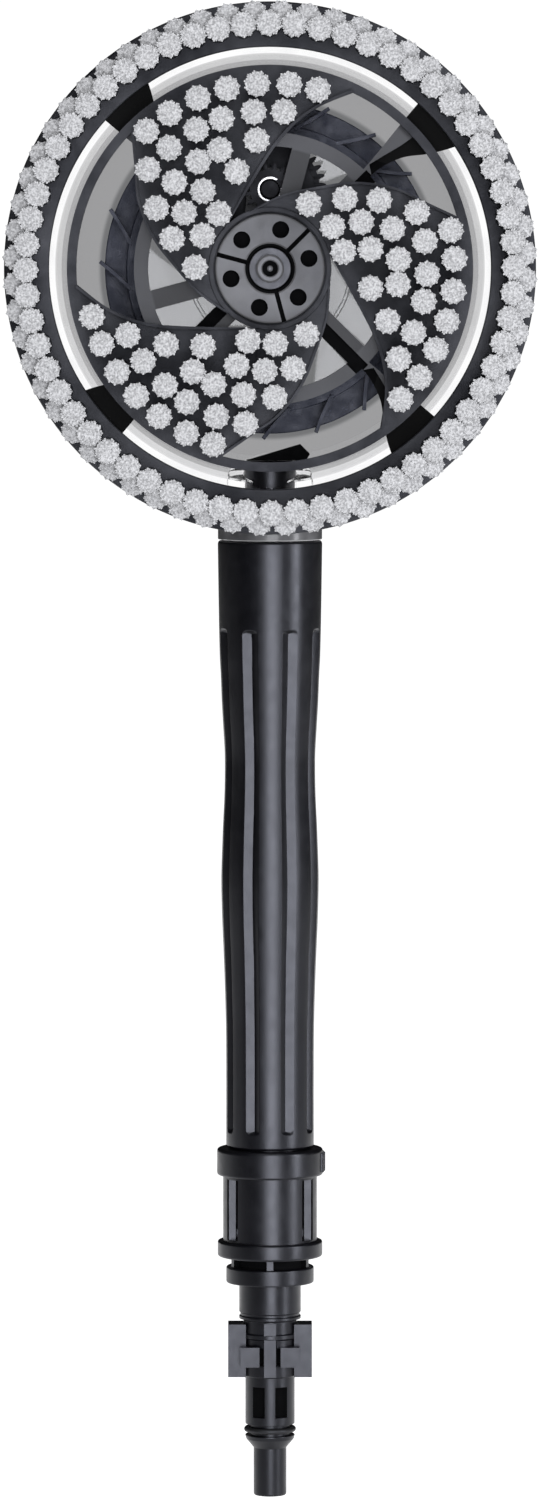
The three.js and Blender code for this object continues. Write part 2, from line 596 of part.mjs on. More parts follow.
function adapterPlug() {
  const stem = turned([
    [0, 0], [4.9, 0], [5.6, 0.8], [5.6, 16.4], [8.1, 19.4], [8.4, 20.4], [6.7, 20.8], [6.7, 24.6],
    [8.4, 25], [8.4, 41], [9.3, 41.3], [9.3, 45], [9, 45.3], [9, 60.2], [10.5, 60.7], [10.5, 73],
    [14.9, 73], [14.9, 78.5], [11.9, 78.9], [11.9, 81.7], [PLUG_BODY_R, 81.7], [PLUG_BODY_R, 98],
    [7.3, 98], [7.3, 100.6], [PLUG_BODY_R, 100.6], [PLUG_BODY_R, 125], [5.5, 125], [5.5, 150], [0, 150],
  ], 24);
  const rib = block([11, 13.6], [-1.1, 1.1], [78, 81.6]);
  const ribs = [22, 90, 158, 202, 270, 338].map((angle) => turnedBy(rib, angle));
  const spine = block([-2, 2], [-9.35, 9.35], [41.4, 59.8]);
  const ears = block([-11.6, 11.6], [-5, 5], [89.1, 91.6]);
  const lugs = [1, -1].flatMap((side) => [
    block(across(9.4, 14.25, side), [-5, 5], [41, 59]),
    block(across(8.2, 9.8, side), [-5, 5], [41, 57.8]),
    block(across(3.6, 10, side), [-9.7, 9.7], [45, 51.7]),
  ]);
  const seams = inCorners((side, face) =>
    block(across(2.2, 3.6, side), across(5, 10, face), [45.3, 51.4]));
  const pockets = inCorners((side, face) =>
    block(across(1.8, 5.8, side), across(5.2, 10, face), [27.3, 37.8]));
  const bore = rod(WATER_BORE_R, -1, 151, 12);
  return cut(join(stem, spine, ears, ...ribs, ...lugs), ...seams, ...pockets, bore);
}

piece(assembly, 'adapter_plug', adapterPlug(), BLACK);
piece(assembly, 'plug_o_ring', roundRing(7.95, 0.85, 22.7), RUBBER);
piece(assembly, 'adapter_seal', roundRing(8.1, 0.7, 99.3), RUBBER);

export default assembly;
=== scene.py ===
# The looks of a rotary wash brush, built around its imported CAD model.
import json
import math
import random

import bmesh
import bpy
from mathutils import Matrix, Vector


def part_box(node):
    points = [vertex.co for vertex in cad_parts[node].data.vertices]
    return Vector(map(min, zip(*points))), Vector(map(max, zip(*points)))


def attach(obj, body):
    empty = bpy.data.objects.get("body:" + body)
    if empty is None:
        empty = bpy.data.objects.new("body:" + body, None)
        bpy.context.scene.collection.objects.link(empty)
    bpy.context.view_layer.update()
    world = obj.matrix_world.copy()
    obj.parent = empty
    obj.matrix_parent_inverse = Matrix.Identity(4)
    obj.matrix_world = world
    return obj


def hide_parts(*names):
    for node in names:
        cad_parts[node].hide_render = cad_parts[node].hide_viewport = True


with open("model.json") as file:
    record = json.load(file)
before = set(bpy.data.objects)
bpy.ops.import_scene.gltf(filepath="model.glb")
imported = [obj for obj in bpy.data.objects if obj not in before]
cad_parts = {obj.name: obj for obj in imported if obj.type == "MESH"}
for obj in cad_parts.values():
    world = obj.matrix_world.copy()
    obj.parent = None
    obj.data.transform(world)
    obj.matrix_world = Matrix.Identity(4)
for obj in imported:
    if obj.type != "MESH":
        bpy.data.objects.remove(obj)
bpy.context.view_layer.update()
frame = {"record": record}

# ---- frame and driving dimensions, in mm

MM = 0.001


def size_of(node):
    """The node's corners in mm."""
    low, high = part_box(node)
    return low / MM, high / MM


def depths(node):
    """How far behind and in front of the handle's axis a piece of the head lies."""
    low, high = size_of(node)
    return -high.y, -low.y


def radius_of(node):
    low, high = size_of(node)
    return (high.x - low.x) / 2


HEAD_Z = sum(corner.z for corner in size_of("outer_ring")) / 2
HANDLE_TOP = size_of("handle_grip")[1].z
TIP_DEPTH = depths("inner_bristles")[1]
OUTER_TIP_DEPTH = TIP_DEPTH - 3.2
PLATE_BACK, RING_FRONT = depths("outer_ring")
PLATE_FRONT = PLATE_BACK + 4.5
WALL_FRONT = depths("blade_disc")[1]
RING_OUTER_R = radius_of("outer_ring")
RING_INNER_R = 73.8
HOOP_OUTER_R = radius_of("blade_disc")
HOOP_INNER_R = HOOP_OUTER_R - 3.1
DISC_CENTRE_R = 20.5
HUB_OUTER_R = radius_of("hub_disc")
BORE_R = 6.5
RUN_R = 4.3

TUFT_R = 4.25
TUFT_LOBES = 11
INNER_ROW_R, INNER_ROW_START = 81.0, 0.3
OUTER_ROW_R, OUTER_ROW_START = 84.3, 3.5
ROW_TUFTS = 60
BLADES = 3
# Tufts on one blade: the radius of each row and the angles in it, in degrees.
BLADE_TUFTS = {
    61.1: (-45, -36, -26, -16.5, -7, 3, 12),
    52.0: (-35, -24, -12, -2, 10, 21),
    42.6: (-24, -7, 4, 18, 32),
    33.9: (-11, 11, 27, 43),
    24.9: (13, 34, 59),
}

BODY_OF = {node: body for body, nodes in frame["record"]["behaviour"]["bodies"].items() for node in nodes}
SLOT_OF = {part["node"]: part["material_slot"] for part in frame["record"]["subparts"]}

# Local frames in mm. HANDLE is the shared frame. HEAD has its origin in the brush's middle and its Z axis
# along the brush axis, out of the bristles.
HANDLE = Matrix.Diagonal((MM, MM, MM, 1))
HEAD = HANDLE @ Matrix.Translation((0, 0, HEAD_Z)) @ Matrix.Rotation(math.pi / 2, 4, "X")


# ---- shapes

BEVEL_ANGLE = 32
WELD_DISTANCE = 1e-4
SAME_PLACE = 1e-6
NEARLY_STRAIGHT = math.radians(172)


def polar(r, degrees):
    angle = math.radians(degrees)
    return r * math.cos(angle), r * math.sin(angle)


def in_scene(name, data):
    obj = bpy.data.objects.new(name, data)
    bpy.context.scene.collection.objects.link(obj)
    return obj


def body_from(verts, faces):
    """A mesh in the scene, with points that meet welded and all its faces outward."""
    mesh = bpy.data.meshes.new("shape")
    mesh.from_pydata([tuple(v) for v in verts], [], faces)
    work = bmesh.new()
    work.from_mesh(mesh)
    bmesh.ops.remove_doubles(work, verts=work.verts, dist=WELD_DISTANCE)
    bmesh.ops.recalc_face_normals(work, faces=work.faces)
    work.to_mesh(mesh)
    work.free()
    return in_scene("shape", mesh)


def filleted(points, radius=0.4, steps=3):
    """A closed outline with its corners rounded. A point's own radius may be its third number."""
    rounded = []
    for i, point in enumerate(points):
        here = Vector(point[:2])
        before = Vector(points[i - 1][:2]) - here
        after = Vector(points[(i + 1) % len(points)][:2]) - here
        r = point[2] if len(point) > 2 else radius
        if r <= 0 or min(here.x, before.length, after.length) < SAME_PLACE:
            rounded.append(here)
            continue
        angle = before.angle(after)
        if angle > NEARLY_STRAIGHT:
            rounded.append(here)
            continue
        back = min(r / math.tan(angle / 2), 0.45 * before.length, 0.45 * after.length)
        start, end = here + before.normalized() * back, here + after.normalized() * back
        for k in range(steps + 1):
            t = k / steps
            rounded.append(start * (1 - t) ** 2 + here * 2 * t * (1 - t) + end * t ** 2)
    return [(v.x, v.y) for v in rounded]


def turned(profile, sides=96):
    """A body turned about Z from (radius, z) points. One that stays off the axis closes on itself."""
    verts, faces, rings = [], [], []
    for r, z in profile:
        if r < SAME_PLACE:
            rings.append([len(verts)] * sides)
            verts.append((0, 0, z))
        else:
            rings.append(list(range(len(verts), len(verts) + sides)))
            verts += [(*polar(r, 360 * k / sides), z) for k in range(sides)]
    pairs = list(zip(rings, rings[1:]))
    if profile[0][0] > SAME_PLACE:
        pairs.append((rings[-1], rings[0]))
    for low, high in pairs:
        for k in range(sides):
            after = (k + 1) % sides
            face = list(dict.fromkeys((low[k], low[after], high[after], high[k])))
            if len(face) > 2:
                faces.append(face)
    return body_from(verts, faces)


def ring(inner, outer, low, high, edge=0.3, sides=96):
    return turned(filleted([(inner, low), (outer, low), (outer, high), (inner, high)], edge), sides)


def rod(r, low, high, edge=0.0, sides=48):
    return turned(filleted([(0, low), (r, low), (r, high), (0, high)], edge), sides)


def round_ring(centre_r, section_r, z, facets=16):
    section = [polar(section_r, 360 * k / facets) for k in range(facets)]
    return turned([(centre_r + x, z + y) for x, y in section])


def plate(loops, low, high):
    """A flat body between two heights, from an outline and the outlines of its holes."""
    curve = bpy.data.curves.new("plate", "CURVE")
    curve.dimensions = "2D"
    curve.fill_mode = "BOTH"
    curve.extrude = (high - low) / 2
    for loop in loops:
        spline = curve.splines.new("POLY")
        spline.points.add(len(loop) - 1)
        for point, (x, y) in zip(spline.points, loop):
            point.co = (x, y, 0, 1)
        spline.use_cyclic_u = True
    flat = in_scene("plate", curve)
    mesh = bpy.data.meshes.new_from_object(flat.evaluated_get(bpy.context.evaluated_depsgraph_get()))
    verts = [v.co + Vector((0, 0, (low + high) / 2)) for v in mesh.vertices]
    faces = [tuple(p.vertices) for p in mesh.polygons]
    bpy.data.objects.remove(flat)
    return body_from(verts, faces)


def block(x, y, z):
    """A box between two values on each axis."""
    verts = [(a, b, c) for a in x for b in y for c in z]
    faces = [(0, 1, 3, 2), (4, 6, 7, 5), (0, 4, 5, 1), (2, 3, 7, 6), (0, 2, 6, 4), (1, 5, 7, 3)]
    return body_from(verts, faces)


def four_blocks(x, y, z):
    """A block and its mirror images across the two planes of the mould."""
    return [block(sorted(side * value for value in x), sorted(face * value for value in y), z)
            for side in (1, -1) for face in (1, -1)]


def blocks_round(x, y, z, angles):
    """The same block turned to each of some angles."""
    return [placed(block(x, y, z), turn(angle)) for angle in angles]


def placed(obj, *moves):
    """The body after each move in turn."""
    for move in moves:
        obj.data.transform(move)
    return obj


def turn(degrees):
    return Matrix.Rotation(math.radians(degrees), 4, "Z")


def shift(x, y):
    return Matrix.Translation((x, y, 0))


def along(start, end):
    """The move that takes a body on the Z axis, starting at 0, to lie from start towards end."""
    direction = Vector(end) - Vector(start)
    return Matrix.Translation(start) @ direction.to_track_quat("Z", "Y").to_matrix().to_4x4()


def bar(start, end, r, edge, sides):
    return placed(rod(r, 0, (Vector(end) - Vector(start)).length, edge, sides), along(start, end))


def applied(obj):
    """The body with its modifiers made real."""
    mesh = bpy.data.meshes.new_from_object(obj.evaluated_get(bpy.context.evaluated_depsgraph_get()))
    obj.modifiers.clear()
    obj.data = mesh
    return obj


def boolean(base, others, operation):
    for other in others:
        modifier = base.modifiers.new(operation, "BOOLEAN")
        modifier.operation = operation
        modifier.solver = "MANIFOLD"
        modifier.object = other
    applied(base)
    for other in others:
        bpy.data.objects.remove(other)
    return base


def join(base, *others):
    return boolean(base, others, "UNION")


def cut(base, *others):
    return boolean(base, others, "DIFFERENCE")


def bevelled(obj, width=0.3, segments=2):
    """The body with every edge sharper than the bevel angle rounded."""
    modifier = obj.modifiers.new("edges", "BEVEL")
    modifier.width = width
    modifier.segments = segments
    modifier.limit_method = "ANGLE"
    modifier.angle_limit = math.radians(BEVEL_ANGLE)
    modifier.miter_outer = "MITER_ARC"
    return applied(obj)


def curved(points, steps=8):
    """Points along a smooth curve through a list of points, both ends included."""
    line = [Vector(p) for p in points]
    smooth = []
    for i in range(len(line) - 1):
        p0, p1, p2, p3 = line[max(i - 1, 0)], line[i], line[i + 1], line[min(i + 2, len(line) - 1)]
        for k in range(steps):
            t = k / steps
            smooth.append(0.5 * (2 * p1 + (p2 - p0) * t + (2 * p0 - 5 * p1 + 4 * p2 - p3) * t ** 2
                                 + (3 * p1 - p0 - 3 * p2 + p3) * t ** 3))
    return [(v.x, v.y) for v in smooth] + [tuple(line[-1])]


def arc(r, start, end, steps):
    return [polar(r, start + (end - start) * k / steps) for k in range(steps + 1)]


def circle(r, sides=128, centre=(0, 0)):
    return [(centre[0] + x, centre[1] + y) for x, y in arc(r, 0, 360, sides)[:-1]]


# ---- materials

FLANGE_FOOT = HANDLE_TOP * MM
# Where the clear plastic's tone changes: distances from the brush axis, in metres.
SIDE_START, RIM_START = (0.0575, 0.0585), (0.0675, 0.069)
# The band between these two carries a painted highlight under the rim.
HIGHLIGHT_BAND_START, HIGHLIGHT_BAND_END = (0.0720, 0.0724), (0.0765, 0.0770)


def node_material(name):
    material = bpy.data.materials.new(name)
    material.use_nodes = True
    tree = material.node_tree
    return material, tree, tree.nodes["Principled BSDF"]


def grey(tone):
    return tone, tone, tone


def new_node(tree, kind):
    return tree.nodes.new("ShaderNode" + kind)


def surface(tree, shader, colour, rough):
    """The colour and roughness of a shader, each from another node."""
    tree.links.new(colour, shader.inputs["Base Color"])
    tree.links.new(rough, shader.inputs["Roughness"])


def fixed(shader, values):
    """Sets constants on a node's own sockets."""
    for name, value in values.items():
        shader.inputs[name].default_value = value


def noise(tree, scale, detail=3.0, stretch=(1, 1, 1)):
    """Noise in the object's own space, with scale in features per metre."""
    space = new_node(tree, "TexCoord")
    mapping = new_node(tree, "Mapping")
    fixed(mapping, {"Scale": stretch})
    texture = new_node(tree, "TexNoise")
    fixed(texture, {"Scale": scale, "Detail": detail})
    tree.links.new(space.outputs["Object"], mapping.inputs["Vector"])
    tree.links.new(mapping.outputs["Vector"], texture.inputs["Vector"])
    return texture.outputs["Fac"]


def head_radius(tree):
    """The distance from the brush axis, in metres."""
    space = new_node(tree, "TexCoord")
    mapping = new_node(tree, "Mapping")
    fixed(mapping, {"Location": (0, 0, -HEAD_Z * MM), "Scale": (1, 0, 1)})
    length = new_node(tree, "VectorMath")
    length.operation = "LENGTH"
    tree.links.new(space.outputs["Object"], mapping.inputs["Vector"])
    tree.links.new(mapping.outputs["Vector"], length.inputs[0])
    return length.outputs["Value"]


def coordinate(tree, axis):
    """A point's X, Y or Z in the shared frame, in metres."""
    space = new_node(tree, "TexCoord")
    split = new_node(tree, "SeparateXYZ")
    tree.links.new(space.outputs["Object"], split.inputs["Vector"])
    return split.outputs[axis]


def combined(tree, operation, first, second):
    """Two values made into one, such as MULTIPLY for both masks or MAXIMUM for either."""
    math_node = new_node(tree, "Math")
    math_node.operation = operation
    tree.links.new(first, math_node.inputs[0])
    tree.links.new(second, math_node.inputs[1])
    return math_node.outputs["Value"]


def ranged(tree, value, start, end, low=0.0, high=1.0):
    """The value from start to end, mapped to run from low to high and held there."""
    span = new_node(tree, "MapRange")
    fixed(span, {"From Min": start, "From Max": end, "To Min": low, "To Max": high})
    tree.links.new(value, span.inputs["Value"])
    return span.outputs["Result"]


def mixed(tree, share, first, second):
    """The first colour turning into the second as the share goes from 0 to 1."""
    mix = new_node(tree, "Mix")
    mix.data_type = "RGBA"
    tree.links.new(share, mix.inputs["Factor"])
    if isinstance(first, tuple):
        mix.inputs["A"].default_value = (*first, 1)
    else:
        tree.links.new(first, mix.inputs["A"])
    mix.inputs["B"].default_value = (*second, 1)
    return mix.outputs["Result"]


def blended(tree, share, first, second):
    """The first shader giving way to the second as the share goes from 0 to 1."""
    mix = new_node(tree, "MixShader")
    tree.links.new(share, mix.inputs["Fac"])
    tree.links.new(first, mix.inputs[1])
    tree.links.new(second, mix.inputs[2])
    return mix.outputs["Shader"]


def spread(tree, value, low, high):
    """A noise value spread over a range, for a roughness."""
    return ranged(tree, value, 0.3, 0.7, low, high)


def two_tones(tree, value, dark, light):
    """A noise value as a colour between two tones."""
    ramp = new_node(tree, "ValToRGB")
    ramp.color_ramp.elements[0].position = 0.35
    ramp.color_ramp.elements[0].color = (*dark, 1)
    ramp.color_ramp.elements[1].position = 0.65
    ramp.color_ramp.elements[1].color = (*light, 1)
    tree.links.new(value, ramp.inputs["Fac"])
    return ramp.outputs["Color"]


def grain(tree, shader, value, strength, distance):
    """A bump on the shader, with its height in metres."""
    bump = new_node(tree, "Bump")
    fixed(bump, {"Strength": strength, "Distance": distance})
    tree.links.new(value, bump.inputs["Height"])
    tree.links.new(bump.outputs["Normal"], shader.inputs["Normal"])


def plastic(name, dark, light, rough, grain_scale=2600, grain_depth=0.00004, strength=0.35, shine=0.5):
    """Moulded plastic: a fine erosion grain, a slow change of tone and an uneven gloss."""
    material, tree, shader = node_material(name)
    fixed(shader, {"Specular IOR Level": shine, "Specular Tint": (0.88, 0.9, 1, 1), "IOR": 1.5})
    tones = two_tones(tree, noise(tree, 38), dark, light)
    surface(tree, shader, tones, spread(tree, noise(tree, 240, 4), *rough))
    grain(tree, shader, noise(tree, grain_scale, 2), strength, grain_depth)
    return material


def metal(name, dark, light, rough, stretch=(1, 1, 1)):
    """Bare metal: an uneven gloss and fine marks, stretched along the way it was worked."""
    material, tree, shader = node_material(name)
    tones = two_tones(tree, noise(tree, 160, 3, stretch), dark, light)
    surface(tree, shader, tones, spread(tree, noise(tree, 900, 3, stretch), *rough))
    grain(tree, shader, noise(tree, 3000, 2, stretch), 0.15, 0.00002)
    fixed(shader, {"Metallic": 1})
    return material


def flange_plastic(tree):
    """The smoky grey shader of the flange below the head, with a painted highlight: a light edge along its
    foot.
    """
    smoky = new_node(tree, "BsdfPrincipled")
    greys = two_tones(tree, noise(tree, 120), (0.07, 0.07, 0.073), (0.15, 0.15, 0.155))
    # Painted highlight: a light grey line along the flange's foot, where its bevel would catch the light.
    edge = ranged(tree, coordinate(tree, "Z"), FLANGE_FOOT + 0.0004, FLANGE_FOOT + 0.0006, 1, 0)
    tree.links.new(mixed(tree, edge, greys, grey(0.6)), smoky.inputs["Base Color"])
    fixed(smoky, {"Roughness": 0.3})
    return smoky.outputs["BSDF"]


def rim_highlight_shader(tree):
    """The white shader of the painted highlight band under the rim."""
    white = new_node(tree, "BsdfPrincipled")
    tones = two_tones(tree, noise(tree, 90), (0.9, 0.9, 0.91), (1, 1, 1))
    tree.links.new(tones, white.inputs["Base Color"])
    fixed(white, {"Roughness": 0.15, "IOR": 1.03, "Transmission Weight": 1})
    return white.outputs["BSDF"]


def clear_plastic():
    """Smoke-clear moulded plastic, slightly wavy, lighter outside the turbine and lightest near the rim.

    A band under the rim is white as a painted highlight, and the flange below the head is grey with a
    painted highlight along its foot.
    """
    material, tree, shader = node_material("clear_plastic")
    radius = head_radius(tree)
    bowl, side, rim = (0.175, 0.177, 0.182), (0.34, 0.34, 0.346), (0.43, 0.43, 0.437)
    tint = mixed(tree, ranged(tree, radius, *SIDE_START), bowl, side)
    tint = mixed(tree, ranged(tree, radius, *RIM_START), tint, rim)
    surface(tree, shader, tint, spread(tree, noise(tree, 60, 2), 0.02, 0.08))
    fixed(shader, {"Transmission Weight": 1, "IOR": 1.4})
    grain(tree, shader, noise(tree, 45, 1), 0.3, 0.0005)
    # Painted highlight: the white band under the rim, from the rim highlight shader.
    within = ranged(tree, radius, *HIGHLIGHT_BAND_END, 1, 0)
    band = combined(tree, "MULTIPLY", ranged(tree, radius, *HIGHLIGHT_BAND_START), within)
    head = blended(tree, band, shader.outputs["BSDF"], rim_highlight_shader(tree))
    flange = ranged(tree, coordinate(tree, "Z"), FLANGE_FOOT + 0.0036, FLANGE_FOOT + 0.0040, 0.8, 0)
    both = blended(tree, flange, head, flange_plastic(tree))
    tree.links.new(both, tree.nodes["Material Output"].inputs["Surface"])
    return material


def frame_plastic():
    """The carrier's charcoal plastic, darker on the spokes, with painted shade: black outside the hoop and
    in the recesses.
    """
    material, tree, shader = node_material("frame_plastic")
    radius = head_radius(tree)
    behind = ranged(tree, coordinate(tree, "Y"), -0.0214, -0.0209)
    painted_recess_shade = combined(tree, "MULTIPLY", behind, ranged(tree, radius, 0.0404, 0.0410))
    # Painted shade: outside the hoop, and on the lowered faces outside the ring, the tone goes to near
    # black and rougher.
    dark = combined(tree, "MAXIMUM", ranged(tree, radius, 0.063, 0.068), painted_recess_shade)
    tones = two_tones(tree, noise(tree, 38), (0.036, 0.037, 0.042), (0.052, 0.053, 0.06))
    spokes = ranged(tree, radius, 0.0400, 0.0408, 1, 0)
    tones = mixed(tree, spokes, tones, (0.019, 0.0195, 0.023))
    surface(tree, shader, mixed(tree, dark, tones, grey(0.002)), ranged(tree, dark, 0, 1, 0.45, 0.95))
    fixed(shader, {"Specular IOR Level": 0.25})
    grain(tree, shader, noise(tree, 2200, 2), 0.4, 0.00005)
    return material


def bristle():
    """Light grey nylon filament: fine streaks along each tuft and a soft sheen."""
    material, tree, shader = node_material("bristle")
    streaks = noise(tree, 1500, 2, (1, 0.08, 1))
    tones = two_tones(tree, streaks, (0.25, 0.25, 0.253), (0.52, 0.52, 0.523))
    surface(tree, shader, tones, spread(tree, noise(tree, 700, 2), 0.45, 0.7))
    grain(tree, shader, noise(tree, 2400, 2, (1, 0.06, 1)), 0.5, 0.0001)
    fixed(shader, {"Sheen Weight": 0.25, "Sheen Roughness": 0.4})
    return material


# Black for the jet nozzle, and painted shade on the recess faces that show() picks out.
BLACK_AND_PAINTED_SHADE = plastic("black_and_painted_shade", grey(0.0015), grey(0.0022), (0.85, 0.95), shine=0.1)
GRAINED_BLACK = plastic("grained_black", (0.011, 0.0115, 0.014), (0.044, 0.045, 0.05), (0.48, 0.62),
                        1500, 0.00012, 0.6, 0.25)
SATIN_STEEL = plastic("satin_grey", (0.08, 0.08, 0.083), (0.12, 0.12, 0.123), (0.3, 0.42), shine=0.4)
BLACK_STEEL = plastic("black_washer", (0.016, 0.016, 0.018), (0.026, 0.026, 0.028), (0.3, 0.45))
BRIGHT_STEEL = metal("bright_steel", (0.2, 0.2, 0.205), (0.32, 0.32, 0.325), (0.2, 0.3))
PLASTICS = {
    "black_plastic": ((0.0022, 0.0022, 0.003), (0.0038, 0.0038, 0.0052), (0.3, 0.38)),
    "hub_plastic": ((0.085, 0.085, 0.088), (0.125, 0.125, 0.128), (0.36, 0.5), 1900, 0.00007, 0.5, 0.3),
    "turbine_plastic": ((0.012, 0.014, 0.024), (0.022, 0.025, 0.04), (0.3, 0.5), 1400, 0.0001, 0.6, 0.2),
    "gear_plastic": ((0.003, 0.003, 0.0035), (0.008, 0.008, 0.009), (0.45, 0.6), 2600, 0.00004, 0.35, 0.15),
    "rubber_seal": (grey(0.007), grey(0.012), (0.4, 0.6), 1200),
}
MATERIALS = {
    **{slot: plastic(slot, *looks) for slot, looks in PLASTICS.items()},
    "frame_plastic": frame_plastic(),
    "clear_plastic": clear_plastic(),
    "bristle": bristle(),
    "steel": metal("steel", (0.48, 0.49, 0.5), (0.62, 0.63, 0.64), (0.22, 0.36), (1, 0.1, 1)),
    "bronze": metal("bronze", (0.42, 0.27, 0.11), (0.58, 0.39, 0.18), (0.35, 0.5)),
}


# ---- showing a piece

def inside(*boxes):
    """A test for points that lie in any of the boxes."""
    def holds(box, point):
        return all(low <= value <= high for value, (low, high) in zip(point, box))

    return lambda point: any(holds(box, point) for box in boxes)


def show(obj, node, place, smooth=34, material=None, recess=None):
    """The body becomes the finished piece that stands for a CAD node, on its body and in its slot.

    Faces whose middle passes the recess test, in the piece's own frame, get the black material as painted
    shade.
    """
    # Painted shade: faces that pass the recess test get the black material instead of the piece's own.
    black = [bool(recess and recess(face.center)) for face in obj.data.polygons]
    obj.data.transform(place)
    obj.data.materials.clear()
    obj.data.materials.append(material or MATERIALS[SLOT_OF[node]])
    obj.data.materials.append(BLACK_AND_PAINTED_SHADE)
    obj.data.polygons.foreach_set("material_index", black)
    obj.data.shade_smooth()
    obj.data.set_sharp_from_angle(angle=math.radians(smooth))
    flat_faces = obj.modifiers.new("flat faces", "WEIGHTED_NORMAL")
    flat_faces.keep_sharp = True
    applied(obj)
    obj.name = obj.data.name = node + "_fine"
    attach(obj, BODY_OF[node])
    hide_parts(node)


# ---- tufts

def wall(low, high, count):
    """The faces between two closed rows of points, from the number of each row's first point."""
    return [(low + k, low + (k + 1) % count, high + (k + 1) % count, high + k) for k in range(count)]


def tuft(verts, faces, centre, base, tip, luck):
    """One tuft: a lobed core that flares from its socket, and the cut ends of its filaments on top."""
    cx, cy = centre
    spin = luck.uniform(0, 360)
    sides = 6 * TUFT_LOBES

    def lobed(r, k, depth):
        angle = 360 * k / sides
        wave = 0.9 + 0.13 * abs(math.cos(math.radians(TUFT_LOBES * angle / 2))) ** 0.7
        x, y = polar(r * wave, angle + spin)
        return cx + x, cy + y, depth

    start = len(verts)
    levels = [(0.72, base), (0.84, base + 0.45 * (tip - base)), (0.97, tip - 2.2), (0.985, tip - 1.0),
              (0.9, tip - 0.5)]
    for share, depth in levels:
        verts.extend(lobed(TUFT_R * share, k, depth) for k in range(sides))
    for level in range(len(levels) - 1):
        faces.extend(wall(start + level * sides, start + (level + 1) * sides, sides))
    verts.append((cx, cy, tip - 0.3))
    top, last = len(verts) - 1, start + (len(levels) - 1) * sides
    faces.extend((last + k, last + (k + 1) % sides, top) for k in range(sides))
    faces.append(tuple(reversed(range(start, start + sides))))

    for count, share in ((3 * TUFT_LOBES, 0.93), (2 * TUFT_LOBES, 0.68), (12, 0.42), (5, 0.18)):
        for k in range(count):
            angle = 360 * k / count + luck.uniform(-3, 3)
            wave = 1 + 0.08 * share * math.cos(math.radians(TUFT_LOBES * angle))
            x, y = polar(TUFT_R * share * wave, angle + spin)
            filament(verts, faces, (cx + x, cy + y), tip - 1.6, tip + luck.uniform(-0.45, 0), luck)


def filament(verts, faces, centre, low, high, luck):
    """The end of one filament: a thin four-sided stalk with a blunt point."""
    spin, r = luck.uniform(0, 90), luck.uniform(0.34, 0.44)
    start = len(verts)
    for depth in (low, high - 0.15):
        for k in range(4):
            x, y = polar(r, spin + 90 * k)
            verts.append((centre[0] + x, centre[1] + y, depth))
    verts.append((*centre, high))
    faces.extend(wall(start, start + 4, 4))
    faces.extend((start + 4 + k, start + 4 + (k + 1) % 4, start + 8) for k in range(4))
    faces.append((start + 3, start + 2, start + 1, start))


def tufts(node, centres, base, tip, seed):
    luck = random.Random(seed)
    verts, faces = [], []
    for centre in centres:
        tuft(verts, faces, centre, base, tip, luck)
    mesh = bpy.data.meshes.new(node)
    mesh.from_pydata(verts, [], faces)
    show(in_scene(node, mesh), node, HEAD, smooth=50)


def blade_tufts(k):
    return [polar(r, angle + 120 * k) for r, angles in BLADE_TUFTS.items() for angle in angles]


def row_tufts(r, first):
    return [polar(r, first + 360 * k / ROW_TUFTS) for k in range(ROW_TUFTS)]


def all_tufts():
    tufts("inner_bristles", row_tufts(INNER_ROW_R, INNER_ROW_START), RING_FRONT - 0.5, TIP_DEPTH, 1)
    tufts("outer_bristles", row_tufts(OUTER_ROW_R, OUTER_ROW_START), RING_FRONT - 0.5, OUTER_TIP_DEPTH, 2)
    for k in range(BLADES):
        tufts(f"blade_bristles_{k + 1}", blade_tufts(k), PLATE_FRONT - 0.5, TIP_DEPTH, 3 + k)


def socket(centre, face):
    """The raised rim round a tuft's hole."""
    rim = [(3.3, face - 0.6), (4.35, face - 0.6), (4.2, face + 0.6), (3.9, face + 0.95), (3.45, face + 0.7)]
    return placed(turned(rim, 20), shift(*centre))


def merged(objects):
    """Several bodies as one, without cutting them."""
    base = objects[0]
    work = bmesh.new()
    for obj in objects:
        work.from_mesh(obj.data)
    work.to_mesh(base.data)
    work.free()
    for obj in objects[1:]:
        bpy.data.objects.remove(obj)
    return base


# ---- brush

# Points on a blade's two sides, each a radius and an angle, and the trailing and leading side's angles at
# the root and at the rim.
LEADING_EDGE = [(24.9, 80.6), (31.9, 59), (40.3, 45.8), (49.1, 33.7), (55.5, 24.3)]
TRAILING_EDGE = [(26.5, -12.6), (34, -25.5), (42.2, -33.9), (50, -41), (57, -47.7)]
BLADE_ROOT = (18, 110)
BLADE_RIM = (-55.3, 15.3)
BLADE_WALL = 1.2


def blade_edge(leading, inset, inner_r=DISC_CENTRE_R, outer_r=HOOP_INNER_R, turned_by=0):
    """One curved side of a blade, from the hub out, moved into the blade by the inset."""
    sign = -1 if leading else 1
    points = LEADING_EDGE if leading else TRAILING_EDGE
    ends = (inner_r, BLADE_ROOT[leading]), (outer_r, BLADE_RIM[leading])
    whole = [ends[0], *points, ends[1]]
    return curved([polar(r, a + turned_by + sign * math.degrees(inset / r)) for r, a in whole])


def gap_between_blades(k):
    """The outline of the open space from one blade's leading edge to the next one's trailing edge."""
    leading = blade_edge(True, 0, turned_by=120 * k)
    trailing = blade_edge(False, 0, turned_by=120 * (k + 1))
    rim = arc(HOOP_INNER_R, BLADE_RIM[1] + 120 * k, BLADE_RIM[0] + 120 * (k + 1), 24)[1:-1]
    root = arc(DISC_CENTRE_R, BLADE_ROOT[0] + 120 * (k + 1), BLADE_ROOT[1] + 120 * k, 12)[1:-1]
    return leading + rim + trailing[::-1] + root


def blade_wall(leading, k):
    """The raised wall along one side of a blade."""
    outer, inner = (blade_edge(leading, inset, DISC_CENTRE_R - 0.5, HOOP_INNER_R + 0.4, 120 * k)
                    for inset in (0, BLADE_WALL))
    return plate([outer + inner[::-1]], PLATE_FRONT - 1, WALL_FRONT)


